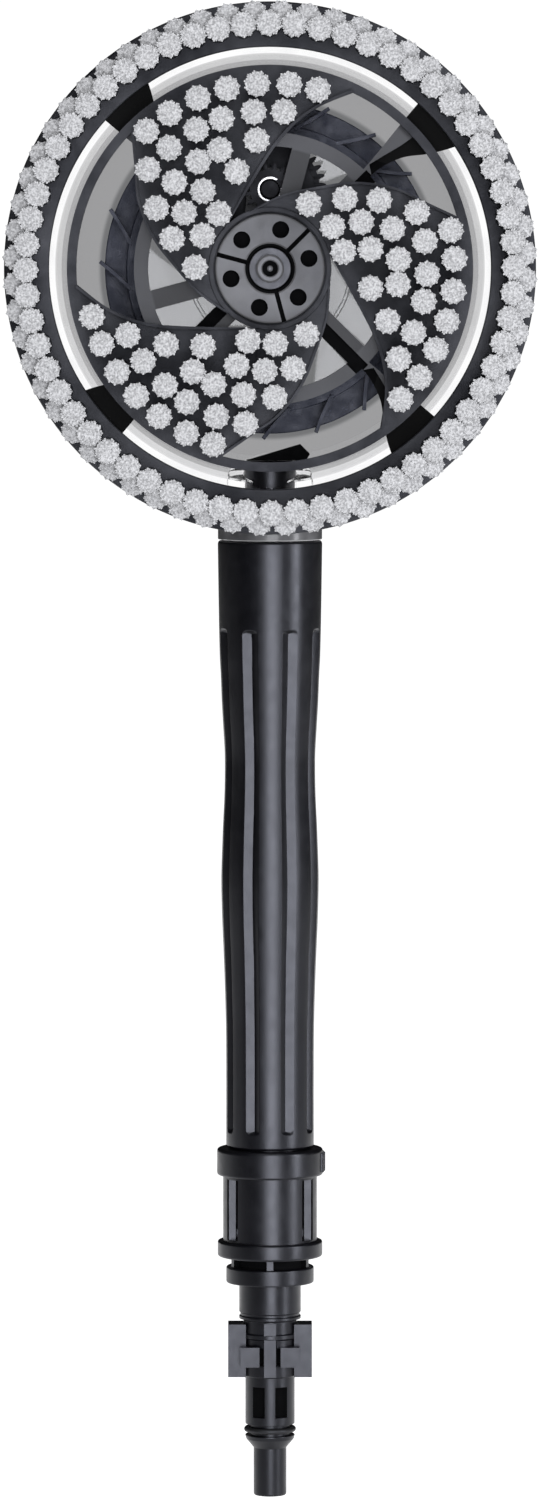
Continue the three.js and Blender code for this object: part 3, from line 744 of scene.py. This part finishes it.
def blade_disc():
    gaps = [gap_between_blades(k) for k in range(BLADES)]
    disc = plate([circle(HOOP_OUTER_R, 192), circle(BORE_R, 64), *gaps], PLATE_BACK, PLATE_FRONT)
    walls = [blade_wall(leading, k) for k in range(BLADES) for leading in (True, False)]
    collar = ring(HUB_OUTER_R + 0.4, DISC_CENTRE_R, PLATE_FRONT - 1, PLATE_FRONT + 1.2, 0.3)
    disc = bevelled(join(disc, *walls, collar), 0.3)
    sockets = [socket(centre, PLATE_FRONT) for k in range(BLADES) for centre in blade_tufts(k)]
    # Painted shade: a thin ring just under the hub, whose top faces are painted black for the shade under
    # the hub.
    shade_under_hub = ring(BORE_R + 0.1, 18, PLATE_FRONT - 0.4, PLATE_FRONT + 0.14, 0.02)
    show(merged([disc, shade_under_hub, *sockets]), "blade_disc", HEAD, smooth=26, material=GRAINED_BLACK,
         recess=lambda point: math.hypot(point.x, point.y) < 18.1 and point.z > PLATE_FRONT + 0.05)


def outer_ring():
    body = turned(filleted([
        (RING_INNER_R, PLATE_BACK), (RING_OUTER_R, PLATE_BACK), (RING_OUTER_R, RING_FRONT, 1.2),
        (RING_INNER_R, RING_FRONT),
    ], 0.5), 256)
    rows = row_tufts(INNER_ROW_R, INNER_ROW_START) + row_tufts(OUTER_ROW_R, OUTER_ROW_START)
    show(merged([body, *(socket(centre, RING_FRONT) for centre in rows)]), "outer_ring", HEAD,
         material=GRAINED_BLACK)


FRAME_INNER_R, FRAME_OUTER_R = 40.8, 45.5
FRAME_HUB_R = 17
SPOKE_ANGLES, SPOKE_HALF = (75, 195), 3.25
ARM_ANGLES, ARM_SPOKE_HALF = (45, 135, 225, 315), 3.9
ARM_ROOT_R, ARM_END_R = 42.5, 84
ARM_END_ANGLES = (33, 48.3)
ARM_SCREW_R, ARM_SCREW_ANGLE = 80, 41
POCKET_DEPTH = 2.6


def swept(*points):
    """A smooth line through points given as a radius and an angle."""
    return curved([polar(r, angle) for r, angle in points])


def carrier_arm(back, front, k):
    """An arm outside the carrier's ring, with a screw's seat behind and a lowered side in front."""
    first, last = ARM_END_ANGLES
    upper = swept((ARM_ROOT_R, 46.5), (52, 47), (65, 47.8), (ARM_END_R, last))
    lower = swept((ARM_END_R, first), (75, 33.2), (66, 35.6), (58, 39.8), (50, 42.3), (ARM_ROOT_R, 42.5))
    arm = plate([upper + arc(ARM_END_R, last, first, 8)[1:-1] + lower], back, front)
    seat = placed(rod(3.3, back - 1, back + 1.8), shift(*polar(ARM_SCREW_R, ARM_SCREW_ANGLE)))
    middle = swept((67, 42.5), (61, 43), (54, 44.6), (48, 46.3))
    below = swept((44, 38), (50, 36), (58, 31), (67, 25))
    lowered = plate([middle + below], front - 3.2, front + 1)
    return placed(cut(arm, seat, lowered), turn(90 * k))


def carrier_frame():
    back, front = depths("carrier_frame")
    depth, length = (back, front), (12, FRAME_INNER_R + 1.5)
    spokes = blocks_round(length, (-SPOKE_HALF, SPOKE_HALF), depth, SPOKE_ANGLES)
    arm_spokes = blocks_round(length, (-ARM_SPOKE_HALF, ARM_SPOKE_HALF), depth, ARM_ANGLES)
    arms = [carrier_arm(back, front, k) for k in range(len(ARM_ANGLES))]
    pocket = (19, 46), (-ARM_SPOKE_HALF - 0.6, ARM_SPOKE_HALF - 3.4), (front - POCKET_DEPTH, front + 1)
    body = join(ring(FRAME_INNER_R, FRAME_OUTER_R, *depth, 0, 160), ring(BORE_R, FRAME_HUB_R, *depth, 0),
                *spokes, *arm_spokes, *arms)

    # Painted shade: the faces in the pockets of the arm spokes are painted black.
    def in_a_pocket(point):
        near = FRAME_HUB_R + 0.5 < math.hypot(point.x, point.y) < 52
        return near and back + 0.5 < point.z < front - POCKET_DEPTH + 0.2

    body = cut(body, *blocks_round(*pocket, ARM_ANGLES))
    show(bevelled(body, 0.35), "carrier_frame", HEAD, smooth=26, recess=in_a_pocket)


HUB_HOLES = 6
HUB_HOLE_R, HUB_HOLE_CIRCLE_R, FIRST_HUB_HOLE = 2.85, 13.4, 14.6
HUB_SLOT_HALF, HUB_SLOT_DEPTH = 0.75, 2.9


def hub_disc():
    back, front = depths("hub_disc")
    disc = turned(filleted([
        (7.5, back), (HUB_OUTER_R, back), (HUB_OUTER_R, front, 0.9), (8.7, front, 0.3),
        (8.3, front - 0.5, 0.2), (7.5, front - 0.9, 0.3),
    ], 0.2), 128)
    holes = [placed(rod(HUB_HOLE_R, back - 1, front + 1),
                    shift(*polar(HUB_HOLE_CIRCLE_R, FIRST_HUB_HOLE + 360 * k / HUB_HOLES)))
             for k in range(HUB_HOLES)]
    slot = (6, HUB_OUTER_R + 1), (-HUB_SLOT_HALF, HUB_SLOT_HALF), (front - HUB_SLOT_DEPTH, front + 1)
    slots = blocks_round(*slot, (45, 165, 285))
    # Painted shade: every face more than 0.5 mm below the front face, in the holes and slots, round the
    # side and at the back, is painted black.
    show(bevelled(cut(disc, *holes, *slots), 0.15), "hub_disc", HEAD, smooth=26,
         recess=lambda point: point.z < front - 0.5)


def retaining_screw():
    """The screw in the middle of the hub: a ring of a head, with a pin in its recess, whose floor is
    painted black as shade.
    """
    back, front = depths("retaining_screw")
    top = turned(filleted([
        (0, 28.4), (4.7, 28.4), (4.7, front - 0.5, 0.3), (4.1, front, 0.3), (2.9, front, 0.2),
        (2.6, front - 0.5, 0.1), (2.6, 29), (0, 29),
    ], 0.2), 64)
    pin = turned(filleted([(0, 28.9), (1, 28.9), (1, 30), (0.5, 30.3), (0, 30.3)], 0.2), 24)
    screw = merged([join(top, rod(1.5, back, 28.6, 0.2, 24)), pin])
    # Painted shade: the floor of the head's recess is painted black.
    floor = inside(((-2.7, 2.7), (-2.7, 2.7), (28.7, 29.3)))
    show(screw, "retaining_screw", HEAD, material=SATIN_STEEL, recess=floor)


# ---- gears and turbine

OUTPUT_TEETH, IDLER_TEETH, IDLER_PINION_TEETH, TURBINE_PINION_TEETH = 37, 36, 16, 17
GEAR_CENTRES = 26.5
AT_IDLER = shift(0, GEAR_CENTRES)
PRESSURE_ANGLE = 20
TOOTH_THINNING = 0.24


def gear_outline(teeth, gap_at_top):
    """An involute gear of module 1."""
    pitch_r = teeth / 2
    base_r = pitch_r * math.cos(math.radians(PRESSURE_ANGLE))

    def involute(r):
        pressure = math.acos(min(1, base_r / max(r, base_r)))
        return math.tan(pressure) - pressure

    def half(r):
        return math.pi / (2 * teeth) - TOOTH_THINNING / (2 * pitch_r) + involute(pitch_r) - involute(r)

    radii = [pitch_r + step for step in (-1.25, -0.8, -0.35, 0.1, 0.55, 0.95)]
    first = math.pi / 2 + (math.pi / teeth if gap_at_top else 0)
    outline = []
    for tooth in range(teeth):
        middle = first + 2 * math.pi * tooth / teeth
        sides = [(r, middle - half(r)) for r in radii] + [(r, middle + half(r)) for r in reversed(radii)]
        outline += [(r * math.cos(angle), r * math.sin(angle)) for r, angle in sides]
    return outline


def output_gear():
    wheel = plate([gear_outline(OUTPUT_TEETH, False), circle(BORE_R, 64)], *depths("output_gear"))
    show(bevelled(wheel, 0.15), "output_gear", HEAD)


def idler_gear():
    """The idler's wheel with its spindle."""
    back, front = depths("idler_gear")
    wheel = plate([gear_outline(IDLER_TEETH, True)], back, back + 4.9)
    recess = [ring(6, 15, back + 3.9, back + 6, 0), ring(6, 15, back - 1, back + 1, 0)]
    spindle = turned(filleted([
        (0, back + 4), (5, back + 4), (5, back + 5.2), (3, back + 5.2), (3, 15.9), (2.4, 15.9), (2.4, 16.5),
        (3, 16.5), (3, front, 0.4), (0, front),
    ], 0.12), 64)
    show(bevelled(placed(join(cut(wheel, *recess), spindle), AT_IDLER), 0.15), "idler_gear", HEAD)


def idler_pinion():
    pinion = plate([gear_outline(IDLER_PINION_TEETH, True), circle(3.3, 48)], *depths("idler_pinion"))
    show(placed(bevelled(pinion, 0.15), AT_IDLER), "idler_pinion", HEAD)


def turbine_pinion():
    back, front = depths("turbine_pinion")
    teeth = plate([gear_outline(TURBINE_PINION_TEETH, False), circle(RUN_R, 48)], front - 5, front)
    show(bevelled(join(teeth, ring(RUN_R, 6.2, back, front - 4)), 0.15), "turbine_pinion", HEAD)


def idler_circlip():
    back, front = depths("idler_circlip")
    gap = placed(block((-1.6, 1.6), (0, 8), (back - 1, front + 1)), turn(-60))
    clip = bevelled(cut(ring(3.55, 4.25, back, front, 0), gap), 0.1)
    show(placed(clip, AT_IDLER), "idler_circlip", HEAD, material=BRIGHT_STEEL)


def gear_plate():
    back, front = depths("gear_plate")
    outline = arc(10.5, 175, 365, 40) + [(x, y + GEAR_CENTRES) for x, y in arc(7.5, 5, 175, 30)]
    holes = [circle(RUN_R, 48), circle(5.3, 48, (0, GEAR_CENTRES))]
    show(bevelled(plate([outline, *holes], back, front), 0.3), "gear_plate", HEAD)


VANES = 20
FIRST_VANE = 33.7
VANE_BACK, VANE_FRONT = -12.5, 0.5
VANE_HALF = 0.6
VANE_INNER_R, VANE_MIDDLE_R, VANE_OUTER_R = 47.5, 52.2, radius_of("turbine_wheel")
TURBINE_RIM_R = 55.9
TURBINE_HOOP_R = 44.7


def vane(k):
    """A curved vane that leans across the rim."""
    angle = FIRST_VANE + 360 * k / VANES
    line = [(VANE_OUTER_R - 0.3, angle), (VANE_MIDDLE_R, angle + 4.4), (VANE_INNER_R, angle + 10.5)]
    spine = curved([polar(*point) for point in line], 5)
    left, right = [], []
    for i, here in enumerate(spine):
        first = min(i, len(spine) - 2)
        step = Vector(spine[first + 1]) - Vector(spine[first])
        across = Vector((-step.y, step.x)).normalized() * VANE_HALF
        left.append((here[0] + across.x, here[1] + across.y))
        right.append((here[0] - across.x, here[1] - across.y))
    return plate([left + right[::-1]], VANE_BACK + 0.5, VANE_FRONT)


def turbine_wheel():
    floor, hoop, top = VANE_BACK + 2.5, VANE_INNER_R + 0.8, VANE_FRONT - 1
    rim = turned(filleted([
        (TURBINE_HOOP_R, VANE_BACK), (TURBINE_RIM_R, VANE_BACK), (TURBINE_RIM_R, floor, 0.5),
        (hoop, floor, 0.6), (hoop, top, 0.2), (TURBINE_HOOP_R, top, 0.2),
    ], 0.3), 160)
    ribs = blocks_round((8, VANE_INNER_R), (-0.7, 0.7), (VANE_BACK + 1, -5), range(15, 375, 60))
    hub = ring(BORE_R, 9.5, *depths("turbine_wheel"), 0.3)
    wheel = join(rim, hub, *ribs, *(vane(k) for k in range(VANES)))
    show(bevelled(wheel, 0.2), "turbine_wheel", HEAD, smooth=26)


# ---- small pieces of the head

def bushes_and_washers():
    for node, inner, outer in (
        ("hub_bush", RUN_R, 6.2), ("turbine_bush", RUN_R, 6.2), ("thrust_washer", RUN_R, 8.5),
        ("spacer_washer", RUN_R, 8), ("retaining_washer", 1.9, 7),
    ):
        dark = BLACK_STEEL if node == "retaining_washer" else None
        show(ring(inner, outer, *depths(node), 0.25), node, HEAD, material=dark)
    show(placed(ring(3.3, 5, *depths("idler_bush"), 0.25), AT_IDLER), "idler_bush", HEAD)


def main_shaft():
    back, front = depths("main_shaft")
    flats = [block((3.4, 6), (-6, 6), (6.8, 30)), block((-6, -3.4), (-6, 6), (6.8, 30))]
    shaft = cut(rod(4, back, front, 0.4, 64), *flats, rod(1.8, 14, 30, 0, 32))
    show(bevelled(shaft, 0.15), "main_shaft", HEAD)


def shaft_nut():
    back, front = depths("shaft_nut")
    corners = [polar(6.5 / math.cos(math.pi / 6), 30 + 60 * k) for k in range(6)]
    dome = turned(filleted([(0, back), (6.6, back), (7.6, back + 0.7), (7.6, front), (0, front)], 0.1), 64)
    nut = boolean(plate([corners, circle(RUN_R, 48)], back, front), [dome], "INTERSECT")
    show(bevelled(nut, 0.12), "shaft_nut", HEAD)


def rear_cap():
    back, front = depths("rear_cap")
    cap = turned(filleted([
        (0, back + 2), (11, back + 2.6), (11.8, back + 3.6), (11.8, front), (14, front),
        (14, back + 3.1, 1.4), (12, back + 0.6, 1.5), (6, back + 0.25, 3), (0, back),
    ], 0.3))
    ribs = [placed(rod(0.7, back + 3.4, front - 0.3, 0.3, 12), shift(*polar(14, 15 * k)))
            for k in range(24)]
    show(bevelled(join(cap, *ribs), 0.12, 1), "rear_cap", HEAD)


def cross_screw(head_r, head_low, head_high, shank_r, end):
    """A pan-head screw with a cross recess, its head at the low end."""
    outline = [(0, head_low), (head_r, head_low, 0.7), (head_r, head_high), (0, head_high)]
    top = turned(filleted(outline, 0.3), 40)
    half, half_width = 0.62 * head_r, 0.16 * head_r
    slot = (-half, half), (-half_width, half_width), (head_low - 1, head_low + 0.6 * (head_high - head_low))
    screw = cut(join(top, rod(shank_r, head_high - 0.2, end, 0.3, 20)), *blocks_round(*slot, (0, 90)))
    return bevelled(screw, 0.08, 1)


def head_screws():
    for k in range(len(ARM_ANGLES)):
        node = f"ring_screw_{k + 1}"
        back, front = depths(node)
        screw = cross_screw(3, back, back + 1.4, 1.2, front)
        show(placed(screw, shift(*polar(ARM_SCREW_R, ARM_SCREW_ANGLE + 90 * k))), node, HEAD)
    for k in range(BLADES):
        back, front = depths(f"disc_screw_{k + 1}")
        screw = cross_screw(2, back, back + 1.5, 1.2, front)
        show(placed(screw, shift(*polar(43.1, 3.5 + 120 * k))), f"disc_screw_{k + 1}", HEAD)
        pin = rod(1.5, *depths(f"drive_pin_{k + 1}"), 0.3, 32)
        show(placed(pin, shift(*polar(11.5, 15 + 120 * k))), f"drive_pin_{k + 1}", HEAD)


# ---- clear housing and inlet

NECK_R = 14.5
NECK_END = -117
SHOULDER = HANDLE_TOP - HEAD_Z


def down_bar(start, end, r, edge, sides):
    """A round bar along the handle's axis, in the head's frame."""
    return bar((0, start, 0), (0, end, 0), r, edge, sides)


def clear_housing():
    outer = [(42, -20, 6), (58, -18, 9), (67, -11.6, 9), (73, 0, 9), (75, 7, 3), (80, 12, 2),
             (80.5, 15.5, 0.4)]
    inner = [(76.5, 15.5, 0.4), (75, 10.5, 0.4), (71.6, 6.6, 0.4), (69.2, -2, 7), (64, -10.4, 9),
             (56, -15.4, 9), (42, -17, 6)]
    ribs = [(28, -17, 0.2), (28, -15.8, 0.3), (26.8, -15.8, 0.3), (26.8, -17, 0.2)]
    hub = [(12, -17, 0.4), (12, -16.3, 0.2), (RUN_R, -16.3, 0.1)]
    shell = turned(filleted([(RUN_R, -20, 0.2), *outer, *inner, *ribs, *hub], 0.3, 5), 192)
    hollow = turned(filleted([(0, 17), (76, 17, 0), *inner[1:], (0, -17)], 0.3, 5))
    neck = down_bar(-60, NECK_END, NECK_R, 0.5, 72)
    flange = down_bar(-87.6, SHOULDER + 0.3, 17.6, 0.5, 72)
    bore = down_bar(-50, NECK_END - 1, 9.1, 0, 64)
    groove = cut(down_bar(-110.4, -107.6, NECK_R + 1, 0, 72), down_bar(-112, -106, 12.8, 0, 72))
    body = cut(join(shell, cut(join(neck, flange), hollow)), bore, groove)
    show(bevelled(body, 0.25), "clear_housing", HEAD)


def inlet():
    tube = join(down_bar(-64.8, -125.7, 8.75, 0.5, 72), down_bar(-125, -146, 5.5, 0.4, 48))
    tube = cut(tube, down_bar(-60, -150, 3.2, 0, 32))
    show(bevelled(tube, 0.25), "inlet_tube", HEAD)
    outline = [(-8, -64.5), (-6.5, -64.2), (10.2, -59.2), (13.4, -62.4), (12.2, -64.5)]
    nozzle = cut(plate([outline], -4.5, 8), bar((-1, -66, 0), (14.5, -59.6, 0), 1.4, 0, 32))
    show(bevelled(nozzle, 0.3), "jet_nozzle", HEAD, material=BLACK_AND_PAINTED_SHADE)


# ---- handle

# The grip's radius at some heights.
GRIP = [(120, 14.9), (140, 14.87), (160, 14.95), (170, 15.2), (178, 15.45), (186, 15.75), (195, 16.15),
        (203, 16.4), (211, 16.5), (220, 16.25), (229, 15.9), (237, 15.5), (245, 15.28), (253, 15.3),
        (262, 15.8), (271, 16.3), (279, 16.6), (287, 17), (304, 17.35), (324.7, 17.65)]
GROOVE_LOW, GROOVE_HIGH = 124.6, 295.6
# Across a groove, in degrees from the nearest of the mould's two axes: its inner edge, the foot of its
# slanted wall, and the outer edge, where the flat floor comes back to the surface.
GROOVE_INNER, GROOVE_FOOT, GROOVE_OUTER = 13.9, 22.6, 32.6
GROOVE_FOOT_DEPTH = 1.5


def grip_radius(z):
    """The grip's radius at a height, along a smooth curve through its widths."""
    last = len(GRIP) - 1
    i = next((k for k in range(last) if GRIP[k + 1][0] >= z), last - 1)

    def slope(k):
        (z_before, r_before), (z_after, r_after) = GRIP[max(k - 1, 0)], GRIP[min(k + 1, last)]
        return (r_after - r_before) / (z_after - z_before)

    (z1, r1), (z2, r2) = GRIP[i], GRIP[i + 1]
    span, t = z2 - z1, (min(max(z, z1), z2) - z1) / (z2 - z1)
    return ((2 * t ** 3 - 3 * t ** 2 + 1) * r1 + (t ** 3 - 2 * t ** 2 + t) * span * slope(i)
            + (3 * t ** 2 - 2 * t ** 3) * r2 + (t ** 3 - t ** 2) * span * slope(i + 1))


def groove_depth(r, angle, z):
    """How deep a groove is. Its floor is flat, square to a mould axis, and its inner wall slants."""
    from_axis = abs((angle + 45) % 90 - 45)
    floor_y = r * math.cos(math.radians(GROOVE_OUTER)) - 0.12
    floor = r - floor_y / math.cos(math.radians(from_axis))
    slant = (from_axis - GROOVE_INNER) * GROOVE_FOOT_DEPTH / (GROOVE_FOOT - GROOVE_INNER)
    across = (2 * from_axis - GROOVE_INNER - GROOVE_OUTER) / (GROOVE_OUTER - GROOVE_INNER)
    end = 1.3 * (min(z - GROOVE_LOW, GROOVE_HIGH - z) - 1.3 * across ** 4)
    return max(0, min(floor, slant, end))


def groove_grid_angles():
    """Angles round the grip, close together along the edges of each groove."""
    pattern = [0, 3, 6, 9, 11.5, 13.2, 13.7, 14.1, 14.6, 16, 18, 20, 21.6, 22.2, 22.6, 23, 23.6, 25, 27,
               29, 31, 32, 32.6, 33, 33.4, 33.9, 34.8, 37, 41]
    quarter = pattern + [90 - value for value in reversed(pattern[1:])]
    return [90 * k + value for k in range(4) for value in quarter]


def groove_grid_heights():
    """Heights up the grip, close together at the ends of the grooves."""
    ends = []
    for end, sign in ((GROOVE_LOW, 1), (GROOVE_HIGH, -1)):
        ends += [end + sign * (0.25 * k - 0.6) for k in range(14)]
    middle = [GROOVE_LOW + 4 + (GROOVE_HIGH - GROOVE_LOW - 8) * k / 60 for k in range(61)]
    top = [300 + 4 * k for k in range(6)]
    return sorted(ends + middle + top)


SCREW_SIDES = (-1, 1)
SCREW_ANGLE = 35
SCREW_Z = HEAD_Z - 100.5


def on_screw_line(side, distance):
    """The point at a distance from the handle's axis on the line of one of the screws at its back."""
    angle = math.radians(SCREW_ANGLE * side)
    return Vector((distance * math.sin(angle), distance * math.cos(angle), SCREW_Z))


def handle_grip():
    end = size_of("handle_grip")[0].z
    spigot_r, shoulder, socket_r, bore_r = 12.8, 119.4, 14.8, 11.3
    angles = groove_grid_angles()
    outside = [(grip_radius(z), z) for z in [shoulder + 0.9, *groove_grid_heights(), HANDLE_TOP - 1.0]]
    top = [(grip_radius(HANDLE_TOP) - 0.15, HANDLE_TOP - 0.45), (grip_radius(HANDLE_TOP) - 0.6, HANDLE_TOP),
           (socket_r + 0.4, HANDLE_TOP), (socket_r, HANDLE_TOP - 0.4), (socket_r, 299), (bore_r, 297)]
    bottom = [(bore_r, 126), (9, 124), (9, end + 0.3), (9.3, end), (spigot_r - 0.4, end),
              (spigot_r, end + 0.4), (spigot_r, shoulder), (14.2, shoulder), (14.75, shoulder + 0.3)]
    profile = outside + top + bottom
    verts, faces = [], []
    for r, z in profile:
        for angle in angles:
            depth = groove_depth(r, angle, z) if (r, z) in outside else 0
            verts.append((*polar(r - depth, angle), z))
    count = len(angles)
    for i in range(len(profile)):
        faces.extend(wall(i * count, (i + 1) % len(profile) * count, count))
    seats = []
    for side in SCREW_SIDES:
        seats.append(bar(on_screw_line(side, 12), on_screw_line(side, 25), 1.8, 0, 24))
        seats.append(bar(on_screw_line(side, 15.5), on_screw_line(side, 25), 3.3, 0, 32))
    show(cut(body_from(verts, faces), *seats), "handle_grip", HANDLE, smooth=50)


def handle_screws():
    for k, side in enumerate(SCREW_SIDES):
        screw = cross_screw(2.9, 0, 1.8, 1.5, 5.2)
        line = along(on_screw_line(side, 17.3), on_screw_line(side, 0))
        show(placed(screw, line), f"handle_screw_{k + 1}", HANDLE)


def pipe_and_seals():
    low, high = size_of("water_pipe")
    show(ring(5.8, 7.5, low.z, high.z, 0.3), "water_pipe", HANDLE)
    for node, centre_r, section_r in (
        ("neck_seal", 13.95, 0.78), ("plug_o_ring", 7.95, 0.9), ("adapter_seal", 8.1, 0.74),
    ):
        low, high = size_of(node)
        show(round_ring(centre_r, section_r, (low.z + high.z) / 2), node, HANDLE)


# ---- collar and plug

def coupling_collar():
    """The collar: a flange at each end, a slot through each quarter with a ledge in it, and grip bumps."""
    bottom, top = (corner.z for corner in size_of("coupling_collar"))
    low_flange, high_flange, body_r, lip_r, bore_r = 87.4, 109.8, 15.95, 9.1, 13.1
    body = turned(filleted([
        (lip_r, bottom, 0.3), (17.8, bottom, 0.9), (17.8, low_flange, 0.8), (body_r, low_flange, 0.25),
        (body_r, high_flange, 0.25), (18, high_flange, 0.9), (18, top, 1.3), (bore_r, top, 0.4),
        (bore_r, 88.7, 0.2), (lip_r, 88.7, 0.2),
    ], 0.3, 5), 160)
    slots = four_blocks((10.9, 15.2), (6.6, 20), (low_flange + 0.9, high_flange - 0.9))
    ledges = four_blocks((11.6, 13.9), (6, 7.6), (low_flange + 0.5, high_flange - 0.5))
    ears = block((-5.6, 5.6), (-13, 13), (bottom - 1, 90))
    bumps = [placed(rod(0.9, 110.9, top - 1.4, 0.4, 16), shift(17.9, 0), turn(13 * k)) for k in (-1, 0, 1)]

    # Painted shade: the slot faces beside each ledge are painted black.
    def beside_ledge(point):
        between = low_flange + 1 < point.z < high_flange - 1 and 12.5 < math.hypot(point.x, point.y) < 15.7
        return between and not 11.55 < abs(point.x) < 13.95

    collar = cut(join(cut(join(body, *bumps), *slots), *ledges), ears)
    show(bevelled(collar, 0.22), "coupling_collar", HANDLE, smooth=26, recess=beside_ledge)


def adapter_plug():
    """The plug that goes into a spray gun, from its open tip up to the spigot inside the handle."""
    end = size_of("adapter_plug")[1].z
    tip = [(0, 0), (5.6, 0, 0.8), (5.6, 16.4, 0.3), (8.1, 19.4, 0.4), (8.4, 20.5, 0.2), (8.4, 20.8, 0.1)]
    ring_groove = [(6.7, 20.8, 0.2), (6.7, 24.6, 0.2)]
    lug_stem = [(8.4, 24.6, 0.2), (8.4, 41), (9.3, 41.3, 0.3), (9.3, 45, 0.3), (9, 45.2), (9, 53.9),
                (9.6, 54.3, 0.2), (9.6, 55.6, 0.2), (9, 56), (9, 60.2)]
    neck = [(10.5, 60.7, 0.2), (10.5, 61.6, 0.15), (10.1, 61.9, 0.1), (10.1, 62.7, 0.1), (10.5, 63, 0.15),
            (10.5, 73, 0.3)]
    flange = [(14.9, 73, 0.6), (14.9, 78.5, 0.6), (11.9, 78.5, 0.3), (11.9, 81.7, 0.3)]
    spigot = [(8.7, 81.7, 0.2), (8.7, 98), (7.3, 98), (7.3, 100.6), (8.7, 100.6), (8.7, 125, 0.4),
              (5.5, 125, 0.3), (5.5, end, 0.4), (0, end)]
    stem = turned(filleted(tip + ring_groove + lug_stem + neck + flange + spigot, 0.15))
    ears = block((-11.6, 11.6), (-5, 5), (89.1, 91.6))
    lugs = [block(sorted(side * value for value in x), y, z) for side in (1, -1)
            for x, y, z in (((8.2, 14.25), (-5, 5), (41, 59)), ((3.6, 10), (-9.7, 9.7), (45, 51.7)))]
    pockets = four_blocks((1.8, 5.8), (5.2, 10), (27.3, 37.8))
    seams = four_blocks((2.2, 3.6), (5, 10), (45.3, 51.4))
    spine = block((-2, 2), (-9.35, 9.35), (41.4, 59.8))
    ribs = blocks_round((11, 13.7), (-1.1, 1.1), (78, 81.6), (22, 90, 158, 202, 270, 338))
    plug = cut(join(stem, spine, ears, *ribs, *lugs), *pockets, *seams, rod(3.2, -1, end + 1))
    # Painted shade: faces in the pockets, in the seams and on the narrow neck under the flange are painted
    # black.
    black = [((-5.6, 5.6), (-7.4, 7.4), (27.5, 37.6)), ((-3.5, -2.2), (-9.2, 9.2), (45.5, 51.2)),
             ((2.2, 3.5), (-9.2, 9.2), (45.5, 51.2)), ((-11.95, 11.95), (-11.95, 11.95), (78.7, 81.5))]
    show(bevelled(plug, 0.3), "adapter_plug", HANDLE, smooth=26, recess=inside(*black))


# ---- studio

LENS = 179.3
CAMERA_DISTANCE = 2.525
CAMERA_TILT = 3.687
WHITE = 1.05


def stage_material():
    """Pale paper that glows, white behind the object and less in front of it."""
    material, tree, shader = node_material("backdrop")
    fixed(shader, {"Base Color": (0.8, 0.8, 0.8, 1), "Roughness": 0.9, "Emission Color": (1, 1, 1, 1)})
    glow = ranged(tree, coordinate(tree, "Y"), -0.1, 0.15, 0.35, WHITE)
    tree.links.new(glow, shader.inputs["Emission Strength"])
    return material


def backdrop():
    """A pale floor under and behind the object."""
    floor_z, front, far, half = -0.035, -0.35, 4, 1.6
    mesh = bpy.data.meshes.new("floor")
    mesh.from_pydata([(x, y, floor_z) for y in (front, far) for x in (-half, half)], [], [(0, 1, 3, 2)])
    obj = in_scene("floor", mesh)
    obj.data.materials.append(stage_material())


def pale_surroundings():
    """A world that looks white, also through clear plastic, and hardly lights the object."""
    world = bpy.data.worlds.new("studio")
    world.use_nodes = True
    tree = world.node_tree
    rays = new_node(tree, "LightPath")
    seen = combined(tree, "MAXIMUM", rays.outputs["Is Camera Ray"], rays.outputs["Is Transmission Ray"])
    background = tree.nodes["Background"]
    background.inputs["Color"].default_value = (1, 1, 1, 1)
    tree.links.new(ranged(tree, seen, 0, 1, 0.02, WHITE), background.inputs["Strength"])
    bpy.context.scene.world = world


def area_light(name, place, target, size, power, color=(1, 1, 1)):
    light = bpy.data.lights.new(name, "AREA")
    light.shape = "RECTANGLE"
    light.size, light.size_y = size
    light.energy = power
    light.color = color
    obj = in_scene(name, light)
    obj.location = place
    obj.rotation_euler = (Vector(target) - Vector(place)).to_track_quat("-Z", "Y").to_euler()


def studio():
    pale_surroundings()
    grip, head = (0, 0, 0.25), (0, 0, HEAD_Z * MM)
    cool = (0.95, 0.96, 1)
    area_light("front softbox", (0.26, -2.9, 0.1), grip, (1.3, 3.0), 98, cool)
    area_light("right softbox", (2.2, -1.25, 0.3), grip, (0.45, 2.4), 44, cool)
    area_light("top softbox", (0.0, -1.3, 2.1), head, (1.4, 0.9), 10)
    area_light("low softbox", (-0.2, -1.6, -1.2), head, (1.2, 0.8), 3)
    bpy.context.scene.view_settings.view_transform = "Standard"


def camera():
    """A long lens level with the brush head, tilted down so that the whole object is in the picture."""
    data = bpy.data.cameras.new("camera")
    data.lens = LENS
    data.clip_start = 0.05
    data.clip_end = 50
    obj = in_scene("camera", data)
    obj.location = (0, -CAMERA_DISTANCE, HEAD_Z * MM)
    obj.rotation_euler = (math.radians(90 - CAMERA_TILT), 0, 0)
    bpy.context.scene.camera = obj


camera()
all_tufts()
blade_disc()
outer_ring()
carrier_frame()
hub_disc()
retaining_screw()
output_gear()
idler_gear()
idler_pinion()
turbine_pinion()
idler_circlip()
gear_plate()
turbine_wheel()
bushes_and_washers()
main_shaft()
shaft_nut()
rear_cap()
head_screws()
clear_housing()
inlet()
handle_grip()
handle_screws()
pipe_and_seals()
coupling_collar()
adapter_plug()
backdrop()
studio()
